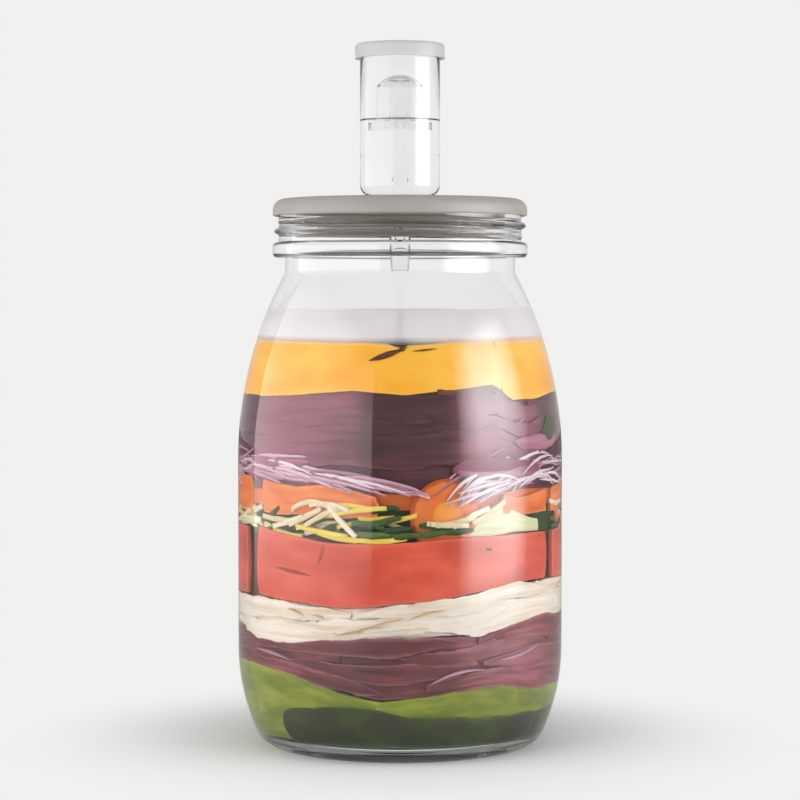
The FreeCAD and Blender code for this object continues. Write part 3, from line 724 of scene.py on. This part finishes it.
for step in range(LEFT_SHREDS):
    along = chance.uniform(0, 1)
    turn = -62 + along * 60
    height = 0.1325 - along * 0.0115 + chance.uniform(-0.0052, 0.0032) * (1 - along * 0.6)
    shred = twin(moulds[chance.choice(("long", "long", "short", "heart"))])
    tilt = -4 - along * 9 + chance.uniform(-5, 5)
    depth = chance.uniform(0, 0.0024)
    bow = chance.uniform(-0.001, 0.0025)
    shreds.append(press(shred, turn, height, tilt, depth, bow))
for step in range(RIGHT_SHREDS):
    along = chance.uniform(0, 1)
    turn = 26 + along * 38
    height = 0.1205 + along * 0.0045 + chance.uniform(-0.003, 0.0085)
    shred = twin(moulds[chance.choice(("long", "short", "heart", "heart", "heart"))])
    tilt = chance.uniform(6, 34) - along * 16
    depth = chance.uniform(0, 0.0024)
    bow = chance.uniform(0, 0.004)
    shreds.append(press(shred, turn, height, tilt, depth, bow))
for mould in moulds.values():
    bpy.data.objects.remove(mould)
packed("red_onion_shreds", shreds, "red_onion_layer", onion_pink)

# Purple cabbage: broad smooth leaves of red cabbage, darker than the layer further down,
# with a few shreds that have floated up to the top of the brine.
PURPLE_FOOT = ((0, 0.119),)
YELLOW_FOOT = (
    (-130, 0.16), (-60, 0.1592), (-17, 0.1633), (1, 0.1618), (17, 0.163), (26, 0.1645),
    (37, 0.1655), (46, 0.1585), (59, 0.1582), (75, 0.1606), (130, 0.161), (175, 0.159),
)
PURPLE_BAND = (PURPLE_FOOT, YELLOW_FOOT)
PURPLE_ROWS = ((0.0, 0.36), (0.26, 0.62), (0.48, 0.84), (0.7, 1.03))
# Painted light: tones round the jar that make the leaves lighter in the two bands where the lamps'
# reflections fall on the glass. Between the bands the middle is darker as painted shade.
PURPLE_PAINTED_SHINE = (
    (-130, 0.3), (-68, 0.3), (-60, 0.9), (-17, 0.9), (-9, 0.1), (17, 0.1), (25, 0.9), (55, 0.9),
    (64, 0.3), (130, 0.4), (175, 0.3),
)
SHRED_DROP = 0.0022
cabbage_purple = food(
    "purple cabbage", (58, 34, 34), (96, 54, 62), (146, 84, 100), 18, 240, 0.62, 0.45, cut_edge=0.1)
leaf_bright = food(
    "bright purple leaf", (104, 52, 70), (146, 84, 106), (182, 122, 142), 18, 200, 0.5, 0.45, cut_edge=0.1)
leaves = backing(PURPLE_BAND, cabbage_purple, start=-96, depth=0.0036)
for shares in PURPLE_ROWS:
    slip = chance.uniform(-12, 12)
    for start, end in ((-112, 68), (60, 160), (150, 256)):
        span = (start + slip, end + slip)
        depth = chance.uniform(0.0006, 0.0028)
        leaf = fill(span, PURPLE_BAND, cabbage_purple, 0.0014, depth, shares, ragged=0.0024, rounding=0.7)
        leaves.append(leaf)
# Paints the reflection bands and the shaded middle into the leaves' tones.
for leaf in leaves:
    graded(leaf, PURPLE_PAINTED_SHINE)
for span, shares in (
    ((18, 60), (0.14, 0.34)), ((-66, -34), (0.24, 0.36)), ((44, 76), (0.44, 0.6)),
    ((120, 170), (0.3, 0.46)), ((200, 238), (0.2, 0.36)),
):
    leaf = fill(span, PURPLE_BAND, leaf_bright, 0.0012, 0.0003, shares, ragged=0.0018, rounding=0.9)
    leaves.append(leaf)
stray = cut(0.02, 0.01, 0.001, green_skin, rounding=0.95, ragged=0.0022, taper=0.6)
leaves.append(press(stray, turn=70, height=0.145, tilt=10))
for turn, long in ((-72, 0.0034), (0, 0.002), (17, 0.0026), (140, 0.003), (210, 0.0024)):
    shred = cut(long, 0.0016, 0.001, cabbage_purple, rounding=0.95, ragged=0.0003)
    leaves.append(press(shred, turn, BRINE_LEVEL - SHRED_DROP, tilt=4))
packed("purple_cabbage_leaves", leaves, "purple_cabbage_layer", cabbage_purple)

# Yellow pepper: broad pieces of yellow pepper, skin outwards, the last layer to go in and
# the one under the stones. A dark flap of their inside hangs at the lower edge. Dark slivers at
# the top, by the slit between the stones, are painted shadow of the shaded gap under the stones.
YELLOW_TOP = (
    (-70, 0.1842), (-15, 0.1838), (-4, 0.1826), (0, 0.1812), (4, 0.1826), (20, 0.184), (70, 0.1848),
    (180, 0.1844),
)
YELLOW_BAND = (YELLOW_FOOT, YELLOW_TOP)
pepper_yellow = food(
    "yellow pepper skin", (228, 146, 22), (246, 170, 36), (252, 192, 68), 24, 50, 0.3, roughness=0.4)
broad = []
for start, end, depth in (
    (-84, 42, 0.0002), (41, 100, 0.0008), (99, 160, 0.0002), (159, 222, 0.0006), (221, 277, 0.0003),
):
    broad.append(fill((start, end), YELLOW_BAND, pepper_yellow, PEPPER_THICKNESS, depth, ragged=0.0006))
# Painted shadow: three dark slivers in the pepper's inside colour at the slit's foot stand in for the
# shaded gap under the stones' rounded edges.
for turn, height, long, wide, tilt in (
    (-5, 0.1788, 0.022, 0.0026, 17), (1, 0.1812, 0.006, 0.0022, 30), (10, 0.181, 0.015, 0.0008, 4),
):
    broad.append(bruise_and_shadow_mark(turn, height, long, wide, tilt, pepper_inside_and_shadow))
broad.append(fill(
    (12, 26), YELLOW_BAND, pepper_inside_and_shadow, thickness=0.0008, depth=0.0001, shares=(-0.1, 0.06),
    ragged=0.0012, rounding=0.95))
packed("yellow_pepper_pieces", broad, "yellow_pepper_layer", pepper_inside_and_shadow)

# Stones: two half-moon weights of glazed white stoneware that lie on the food and hold it
# under the brine. Each is half a disc with soft edges, and their straight sides meet along
# the middle. Their CAD solids show, with a white glaze.


def clouded(tree, scale, detail, dark, pale):
    """Soft clouds between two shades: the nodes for place, clouds and colour."""
    place = add(tree, "TexCoord")
    cloud = add(tree, "TexNoise", {"Vector": (place, "Object"), "Scale": scale, "Detail": detail})
    return place, cloud, ramped(tree, (cloud, "Fac"), dark, pale)


glaze, tree, shader = new_material("white glaze", {"Roughness": 0.45, "Specular IOR Level": 0.05})
place, cloud, ramp = clouded(tree, 70, 6, (0.3, srgb(228, 224, 232)), (0.65, srgb(243, 241, 245)))
bump = add(tree, "Bump", {"Height": (cloud, "Fac"), "Strength": 0.15, "Distance": 0.0005})
put(shader, {"Base Color": (ramp, "Color"), "Normal": (bump, "Normal")})
for node in ("stone_left", "stone_right"):
    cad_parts[node].material_slots[0].material = glaze

# Brine: salt water, tinted by the red cabbage, that fills the glass up to a level just
# over the stones. Only its top is a surface of its own: its sides wet the glass, and round
# the stones they are cloudy.
BRINE_GAP = 0.0001
MENISCUS = 0.0012
MENISCUS_CURVE = ((0.35, 0.55), (1.0, 0.85), (2.2, 1.0))
VEIL_FOOT = 0.1826
VEIL_FULL = 0.1866
VEIL_SHARE = 0.75
brine_wall = [
    *dome((corner[0], FLOOR + BRINE_GAP), PUSH_UP, 8, True),
    *arc(corner, INSIDE_CORNER - BRINE_GAP, -90, slope(heel, corner), 8)[1:],
    *arc(heel, HEEL_CURVE - GLASS_WALL - BRINE_GAP, slope(heel, corner), 0, 8)[1:],
    *arc(shoulder, inside_curve - BRINE_GAP, 0, brine_turn, 16),
]
brine_edge = brine_wall[-1][0]
brine_outline = [
    *brine_wall,
    *((brine_edge - MENISCUS * inwards, BRINE_LEVEL - MENISCUS * down)
      for inwards, down in MENISCUS_CURVE),
    (0.0, BRINE_LEVEL - MENISCUS),
]
brine = turned("lavender_brine", brine_outline, GLASS_TURNS, sharp=50)
cloudy, tree, shader = new_material("cloudy brine", {"Roughness": 0.6, "Specular IOR Level": 0})
place, cloud, ramp = clouded(tree, 40, 4, (0.3, srgb(222, 215, 220)), (0.7, srgb(234, 229, 232)))
spot = add(tree, "SeparateXYZ", {"Vector": (place, "Object")})
veil = add(tree, "MapRange", {
    "Value": (spot, "Z"), "From Min": VEIL_FOOT, "From Max": VEIL_FULL, "To Max": VEIL_SHARE})
put(shader, {"Base Color": (ramp, "Color"), "Alpha": (veil, "Result")})
through = add(tree, "BsdfTransparent")
path = add(tree, "LightPath")
lamp = add(tree, "MixShader", {0: (path, "Is Shadow Ray"), 1: (shader, "BSDF"), 2: (through, "BSDF")})
put(tree.nodes["Material Output"], {"Surface": (lamp, "Shader")})
brine.data.materials.append(clear("brine top", (0.97, 0.95, 0.98), WATER_BEND, wave=0.05))
brine.data.materials.append(clear("brine side", (0.975, 0.955, 0.98), bend=1.0))
brine.data.materials.append(cloudy)
for face in brine.data.polygons:
    side = face.normal.z < 0.5 or face.center.z < BRINE_LEVEL - 2 * MENISCUS
    face.material_index = int(side) + int(side and face.center.z > VEIL_FOOT)
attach(brine, "jar")
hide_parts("brine")

# Lid: one soft moulding of grey silicone. A thick disc lies on the rim, with a short lip
# outside it, a ribbed plug inside the mouth and a collar that grips the airlock's stem.
LID_UNDER = 0.2442
LID_TOP = 0.2486
LID_RADIUS = 0.058
LIP_BOTTOM = 0.2409
LIP_INSIDE = 0.0557
LID_ROUND = 0.0052
LID_TURNS = 128
SOFT_EDGE = 0.0007
PLUG_BOTTOM = 0.2305
PLUG_RADIUS = 0.048
PLUG_INSIDE = 0.0438
RIBS = 2
RIB_STEPS = 6
RIB_PITCH = 0.0042
RIB_WIDTH = 0.0024
RIB_REACH = 0.0005
COLLAR_RADIUS = 0.009
COLLAR_BOTTOM = 0.2372
STEM_HOLE = 0.00515
PLUG_SHADE_FADE = 0.001
ribs = []
for row in range(RIBS):
    top = PLUG_BOTTOM + RIB_PITCH * (row + 1)
    for step in range(RIB_STEPS + 1):
        share = step / RIB_STEPS
        reach = PLUG_RADIUS + RIB_REACH * math.sin(math.pi * share)
        ribs.append((reach, top - RIB_WIDTH * (1 - share)))
lid_outline = [
    (STEM_HOLE, LID_TOP - SOFT_EDGE),
    (STEM_HOLE + SOFT_EDGE, LID_TOP),
    *arc((LID_RADIUS - LID_ROUND, LID_TOP - LID_ROUND), LID_ROUND, 90, 0, 10),
    *arc((LID_RADIUS - SOFT_EDGE, LIP_BOTTOM + SOFT_EDGE), SOFT_EDGE, 0, -90, 4),
    *arc((LIP_INSIDE + SOFT_EDGE, LIP_BOTTOM + SOFT_EDGE), SOFT_EDGE, -90, -180, 4),
    *arc((LIP_INSIDE - SOFT_EDGE, LID_UNDER - SOFT_EDGE), SOFT_EDGE, 0, 90, 4),
    (PLUG_RADIUS, LID_UNDER),
    *ribs[::-1],
    *arc((PLUG_RADIUS - SOFT_EDGE, PLUG_BOTTOM + SOFT_EDGE), SOFT_EDGE, 0, -90, 4),
    *arc((PLUG_INSIDE + SOFT_EDGE, PLUG_BOTTOM + SOFT_EDGE), SOFT_EDGE, -90, -180, 4),
    (PLUG_INSIDE, LID_UNDER),
    (COLLAR_RADIUS, LID_UNDER),
    *arc((COLLAR_RADIUS - SOFT_EDGE, COLLAR_BOTTOM + SOFT_EDGE), SOFT_EDGE, 0, -90, 4),
    (STEM_HOLE, COLLAR_BOTTOM),
    (STEM_HOLE, LID_TOP - SOFT_EDGE),
]
lid = turned("silicone_stopper_lid", lid_outline, LID_TURNS, sharp=40)
silicone, tree, shader = new_material("grey silicone", {"Specular IOR Level": 0.35})
place, cloud, ramp = clouded(tree, 35, 5, (0.3, srgb(156, 150, 144)), (0.7, srgb(170, 165, 159)))
fine = add(tree, "TexNoise", {"Vector": (place, "Object"), "Scale": 900, "Detail": 3})
spot = add(tree, "SeparateXYZ", {"Vector": (place, "Object")})
# Painted shade: below the lip the plug is darkened to a grey-brown. This stands in for the dim mouth of
# the jar, which the lamps light freely through the glass.
plug_shade_mask = add(tree, "MapRange", {
    "Value": (spot, "Z"), "From Min": LIP_BOTTOM, "From Max": LIP_BOTTOM - PLUG_SHADE_FADE})
painted_plug_shade = (*srgb(96, 87, 80), 1)
plug_shaded_colour = add(tree, "Mix", {0: (plug_shade_mask, "Result"), 6: (ramp, "Color"), 7: painted_plug_shade}, data_type="RGBA")
sheen = add(tree, "MapRange", {"Value": (cloud, "Fac"), "To Min": 0.42, "To Max": 0.62})
bump = add(tree, "Bump", {"Height": (fine, "Fac"), "Strength": 0.12, "Distance": 0.0002})
put(shader, {"Base Color": (plug_shaded_colour, 2), "Roughness": (sheen, "Result"), "Normal": (bump, "Normal")})
lid.data.materials.append(silicone)
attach(lid, "lid")
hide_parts("silicone_lid")

# Airlock body: one clear moulding. A round chamber with a thicker foot, a hollow riser in
# its middle and a tapered stem that is pushed down through the lid's collar.
SEAT_RADIUS = 0.008
SEAT_LEVEL = 0.2488
CHAMBER_RADIUS = 0.0182
CHAMBER_INSIDE = 0.0168
FOOT_INSIDE = 0.016
CHAMBER_BOTTOM = 0.2501
CHAMBER_FLOOR = 0.2519
CHAMBER_STEP = 0.2691
CHAMBER_RIM = 0.3172
CHAMBER_CORNER = 0.0046
CHAMBER_TURNS = 96
FOOT_ROUND = 0.0024
THIN_EDGE = 0.0004
RISER_RADIUS = 0.006
RISER_TOP_RADIUS = 0.0046
RISER_BORE = 0.0033
RISER_TOP = 0.3017
STEM_RADIUS = 0.005
STEM_TIP_RADIUS = 0.004
STEM_BORE = 0.0028
STEM_TIP = 0.215
STEM_TAPER = 0.016
WATER_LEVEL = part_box("airlock_water")[1].z
PLASTIC_BEND = 1.49
PLASTIC_TINT = (0.985, 0.985, 0.985)
riser_share = (WATER_LEVEL - CHAMBER_FLOOR) / (RISER_TOP - CHAMBER_FLOOR)
riser_at_water = RISER_RADIUS + (RISER_TOP_RADIUS - RISER_RADIUS) * riser_share
chamber_outline = [
    (STEM_BORE, STEM_TIP),
    *arc((STEM_TIP_RADIUS - THIN_EDGE, STEM_TIP + THIN_EDGE), THIN_EDGE, -90, 0, 3),
    (STEM_RADIUS, STEM_TIP + STEM_TAPER),
    (STEM_RADIUS, SEAT_LEVEL),
    *arc((SEAT_RADIUS - THIN_EDGE, SEAT_LEVEL + THIN_EDGE), THIN_EDGE, -90, 0, 3),
    (SEAT_RADIUS, CHAMBER_BOTTOM),
    *arc((CHAMBER_RADIUS - CHAMBER_CORNER, CHAMBER_BOTTOM + CHAMBER_CORNER), CHAMBER_CORNER, -90, 0, 10),
    *arc((CHAMBER_RADIUS - THIN_EDGE, CHAMBER_RIM - THIN_EDGE), THIN_EDGE, 0, 90, 3),
    *arc((CHAMBER_INSIDE + THIN_EDGE, CHAMBER_RIM - THIN_EDGE), THIN_EDGE, 90, 180, 3),
    (CHAMBER_INSIDE, WATER_LEVEL),
    (CHAMBER_INSIDE, CHAMBER_STEP),
    (FOOT_INSIDE, CHAMBER_STEP - (CHAMBER_INSIDE - FOOT_INSIDE)),
    *arc((FOOT_INSIDE - FOOT_ROUND, CHAMBER_FLOOR + FOOT_ROUND), FOOT_ROUND, 0, -90, 6),
    (RISER_RADIUS, CHAMBER_FLOOR),
    (riser_at_water, WATER_LEVEL),
    (RISER_TOP_RADIUS, RISER_TOP - THIN_EDGE),
    (RISER_TOP_RADIUS - THIN_EDGE, RISER_TOP),
    (RISER_BORE, RISER_TOP),
    (RISER_BORE, CHAMBER_FLOOR),
    (STEM_BORE, CHAMBER_BOTTOM),
    (STEM_BORE, STEM_TIP),
]
chamber = turned("airlock_chamber", chamber_outline, CHAMBER_TURNS, sharp=35)
chamber.data.materials.append(clear("clear plastic", PLASTIC_TINT, PLASTIC_BEND, wave=0.03))
chamber.data.materials.append(clear("wet plastic", PLASTIC_TINT, PLASTIC_BEND / WATER_BEND))
for face in chamber.data.polygons:
    radius = math.hypot(face.center.x, face.center.y)
    under = CHAMBER_FLOOR - HAIR < face.center.z < WATER_LEVEL
    between = RISER_BORE + HAIR < radius < CHAMBER_INSIDE + HAIR
    face.material_index = int(under and between)
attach(chamber, "airlock")
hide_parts("airlock_body")

# Float: a thin upturned cup of clear plastic that stands over the riser. Notches in its
# rim let the gas out through the water in small bubbles.
FLOAT_RADIUS = 0.0109
FLOAT_WALL = 0.001
FLOAT_TOP = 0.3037
FLOAT_RIM = 0.2797
FLOAT_CROWN = 0.0052
FLOAT_TURNS = 64
NOTCH_WIDTH = 0.003
NOTCH_HEIGHT = 0.0032
crown_edge = FLOAT_TOP - FLOAT_CROWN
float_inside = FLOAT_RADIUS - FLOAT_WALL
float_outline = [
    *dome((float_inside, crown_edge), FLOAT_CROWN - FLOAT_WALL, 8, True),
    (float_inside, FLOAT_RIM),
    (FLOAT_RADIUS, FLOAT_RIM),
    *dome((FLOAT_RADIUS, crown_edge), FLOAT_CROWN, 10, False),
]
cup = turned("airlock_float_cup", float_outline, FLOAT_TURNS, sharp=35)
bpy.ops.object.select_all(action="DESELECT")
for turn in (0, 90):
    bpy.ops.mesh.primitive_cube_add(
        size=1, location=(0, 0, FLOAT_RIM), rotation=(0, 0, math.radians(turn)))
    cutter = bpy.context.object
    cutter.scale = (NOTCH_WIDTH, FLOAT_RADIUS * 3, NOTCH_HEIGHT * 2)
    notch = cup.modifiers.new("notch", "BOOLEAN")
    notch.operation = "DIFFERENCE"
    notch.object = cutter
    bpy.context.view_layer.objects.active = cup
    bpy.ops.object.modifier_apply(modifier=notch.name)
    bpy.data.objects.remove(cutter)
cup.data.materials.clear()
cup.data.materials.append(clear("float plastic", (0.98, 0.98, 0.98), PLASTIC_BEND, 0.03, roughness=0.03))
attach(cup, "float")
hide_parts("airlock_float")

# Airlock water: a ring of plain water round the riser that seals the float's rim. Its
# sides wet the plastic, so only its top and the rise at its edges show.
WATER_GAP = 0.0001
WATER_RISE = 0.0007
RISER_TAPER = 0.0006
water_top = WATER_LEVEL - WATER_RISE
water_outline = [
    (RISER_RADIUS + WATER_GAP, CHAMBER_FLOOR + WATER_GAP),
    (FOOT_INSIDE - FOOT_ROUND, CHAMBER_FLOOR + WATER_GAP),
    *arc((FOOT_INSIDE - FOOT_ROUND, CHAMBER_FLOOR + FOOT_ROUND), FOOT_ROUND - WATER_GAP, -90, 0, 6)[1:],
    (FOOT_INSIDE - WATER_GAP, CHAMBER_STEP - (CHAMBER_INSIDE - FOOT_INSIDE)),
    (CHAMBER_INSIDE - WATER_GAP, CHAMBER_STEP),
    (CHAMBER_INSIDE - WATER_GAP, WATER_LEVEL),
    (CHAMBER_INSIDE - WATER_RISE * 0.4, WATER_LEVEL - WATER_RISE * 0.6),
    (CHAMBER_INSIDE - WATER_RISE * 1.4, water_top),
    (FLOAT_RADIUS + WATER_RISE * 1.2, water_top),
    (FLOAT_RADIUS + WATER_RISE * 0.4, WATER_LEVEL - WATER_RISE * 0.6),
    (FLOAT_RADIUS + WATER_GAP, WATER_LEVEL - WATER_RISE * 0.2),
    (FLOAT_RADIUS + WATER_GAP, FLOAT_RIM - WATER_GAP),
    (float_inside - WATER_GAP, FLOAT_RIM - WATER_GAP),
    (float_inside - WATER_GAP, water_top),
    (RISER_RADIUS - RISER_TAPER, water_top),
    (RISER_RADIUS + WATER_GAP, CHAMBER_FLOOR + WATER_GAP),
]
water = turned("airlock_water_ring", water_outline, CHAMBER_TURNS, sharp=50)
water.data.materials.append(clear("airlock water top", (0.985, 0.99, 0.995), WATER_BEND, wave=0.02))
water.data.materials.append(clear("airlock water side", (0.99, 0.995, 1.0), bend=1.0))
for face in water.data.polygons:
    face.material_index = int(face.normal.z < 0.2 or face.center.z < water_top - WATER_GAP)
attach(water, "airlock")
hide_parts("airlock_water")

# Cap: a loose push-on cover of milky plastic, moulded with a rounded edge and a ring of
# vent holes. It sits over the chamber's rim, and its CAD solid shows.
milky, tree, shader = new_material(
    "milky plastic", {"Roughness": 0.35, "Transmission Weight": 0.4, "IOR": 1.2})
place, cloud, ramp = clouded(tree, 60, 2, (0.0, srgb(240, 241, 241)), (1.0, srgb(250, 250, 250)))
put(shader, {"Base Color": (ramp, "Color")})
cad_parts["airlock_cap"].material_slots[0].material = milky

# Studio: a pale floor that fades into the backdrop, two tall softboxes and a weak light
# from above. Three cards that only reflections see show as bands on the glass. The camera
# looks at the jar from the height of its neck.
FLOOR_SIZE = 8.0
BACKDROP = srgb(240, 240, 239)
bpy.ops.object.select_all(action="DESELECT")
bpy.ops.mesh.primitive_plane_add(size=FLOOR_SIZE, location=(0, 0, 0))
ground = bpy.context.object
ground.name = "pale_floor"
pale, tree, matt = new_material("pale floor", {
    "Base Color": (0.86, 0.86, 0.86, 1), "Roughness": 0.7, "Specular IOR Level": 0.1})
place = add(tree, "TexCoord")
away = add(tree, "VectorMath", {0: (place, "Object")}, operation="LENGTH")
fade = add(
    tree, "MapRange", {"Value": (away, "Value"), "From Min": 0.05, "From Max": 0.2},
    interpolation_type="SMOOTHERSTEP")
path = add(tree, "LightPath")
rays = {0: (path, "Is Camera Ray"), 1: (path, "Is Transmission Ray")}
seen = add(tree, "Math", rays, operation="MAXIMUM")
far = add(tree, "Math", {0: (fade, "Result"), 1: (seen, "Value")}, operation="MULTIPLY")
glow = add(tree, "Emission", {"Color": (*BACKDROP, 1)})
blend = add(tree, "MixShader", {0: (far, "Value"), 1: (matt, "BSDF"), 2: (glow, "Emission")})
put(tree.nodes["Material Output"], {"Surface": (blend, "Shader")})
ground.data.materials.append(pale)

LAMPS = (
    ("left_softbox", (-0.357, -0.24, 0.24), (0, 0, 0.24), 0.51, 0.46, 1.7),
    ("right_softbox", (0.405, -0.18, 0.24), (0, 0, 0.24), 0.464, 0.46, 1.7),
    ("top_softbox", (0.0, -0.3, 1.5), (0, 0, 0.24), 1.2, 1.00, 6.0),
    ("left_card", (-0.29, -0.172, 0.24), (0, -0.086, 0.24), 0.776, 0.46, 2.1),
    ("right_card", (0.846, -0.308, 0.46), (0, 0, 0.46), 1.05, 0.92, 44.0),
    ("low_card", (0.393, -0.175, 0.055), (0, 0, 0.055), 0.464, 0.1, 0.7),
)
CARD_FADES = {
    "left_card": (
        ((0.0, 1.0), (1.0, 1.0)),
        ((0.0, 0.0), (0.14, 1.0), (0.5, 1.0), (0.62, 0.6), (0.84, 0.45), (0.95, 0.0)),
    ),
    "low_card": (
        ((0.0, 0.0), (0.2, 1.0), (0.7, 1.0), (1.0, 0.0)),
        ((0.0, 0.0), (0.4, 1.0), (1.0, 1.0)),
    ),
    "right_card": (
        ((0.0, 0.0), (0.3, 1.0), (0.6, 1.0), (1.0, 0.0)),
        ((0.0, 0.0), (0.08, 0.26), (0.2, 0.5), (0.34, 0.7), (0.46, 0.7), (0.6, 0.5), (0.7, 0.4),
         (0.78, 0.1), (0.86, 0.0)),
    ),
}
for name, spot, facing, width, height, power in LAMPS:
    aim = (Vector(facing) - Vector(spot)).to_track_quat("-Z", "Y").to_euler()
    bpy.ops.object.light_add(type="AREA", location=spot, rotation=aim)
    lamp = bpy.context.object
    lamp.name = name
    lamp.data.shape = "RECTANGLE"
    lamp.data.size = width
    lamp.data.size_y = height
    lamp.data.energy = power
    lamp.visible_transmission = False
    lamp.visible_glossy = name in CARD_FADES
    if name not in CARD_FADES:
        continue
    lamp.visible_diffuse = False
    lamp.data.use_nodes = True
    tree = lamp.data.node_tree
    across = add(tree, "NewGeometry")
    split = add(tree, "SeparateXYZ", {"Vector": (across, "Parametric")})
    both = add(tree, "Math", operation="MULTIPLY")
    for index, (side, stops) in enumerate(zip("XY", CARD_FADES[name])):
        greys = ((place, (level, level, level)) for place, level in stops)
        put(both, {index: (ramped(tree, (split, side), *greys), "Color")})
    put(tree.nodes["Emission"], {"Strength": (both, "Value")})

world = bpy.data.worlds.new("studio")
scene.world = world
world.use_nodes = True
tree = world.node_tree
soft = tree.nodes["Background"]
put(soft, {"Color": (1, 1, 1, 1), "Strength": 0.22})
white = add(tree, "Background", {"Color": (*BACKDROP, 1)})
place = add(tree, "TexCoord")
split = add(tree, "SeparateXYZ", {"Vector": (place, "Generated")})
behind = add(
    tree, "MapRange",
    {"Value": (split, "Y"), "From Min": -0.2, "From Max": 0.5, "To Min": 0.4, "To Max": 0.75},
    interpolation_type="SMOOTHSTEP")
shine = add(tree, "Background", {"Color": (*BACKDROP, 1), "Strength": (behind, "Result")})
path = add(tree, "LightPath")
rays = {0: (path, "Is Camera Ray"), 1: (path, "Is Transmission Ray")}
seen = add(tree, "Math", rays, operation="MAXIMUM")
gloss = add(tree, "MixShader", {
    0: (path, "Is Glossy Ray"), 1: (soft, "Background"), 2: (shine, "Background")})
blend = add(tree, "MixShader", {0: (seen, "Value"), 1: (gloss, "Shader"), 2: (white, "Background")})
put(tree.nodes["World Output"], {"Surface": (blend, "Shader")})

BOUNCES = 24
scene.cycles.caustics_reflective = False
scene.cycles.caustics_refractive = False
scene.cycles.max_bounces = BOUNCES
scene.cycles.transmission_bounces = BOUNCES
scene.cycles.transparent_max_bounces = BOUNCES

CAMERA = Vector((0.0, -1.16, 0.205))
LOOKS_AT = Vector((0, 0, 0.157))
FRAME_HEIGHT = 0.366
aim = LOOKS_AT - CAMERA
bpy.ops.object.camera_add(location=CAMERA, rotation=aim.to_track_quat("-Z", "Y").to_euler())
camera = bpy.context.object
camera.data.lens = camera.data.sensor_width * aim.length / FRAME_HEIGHT
scene.camera = camera
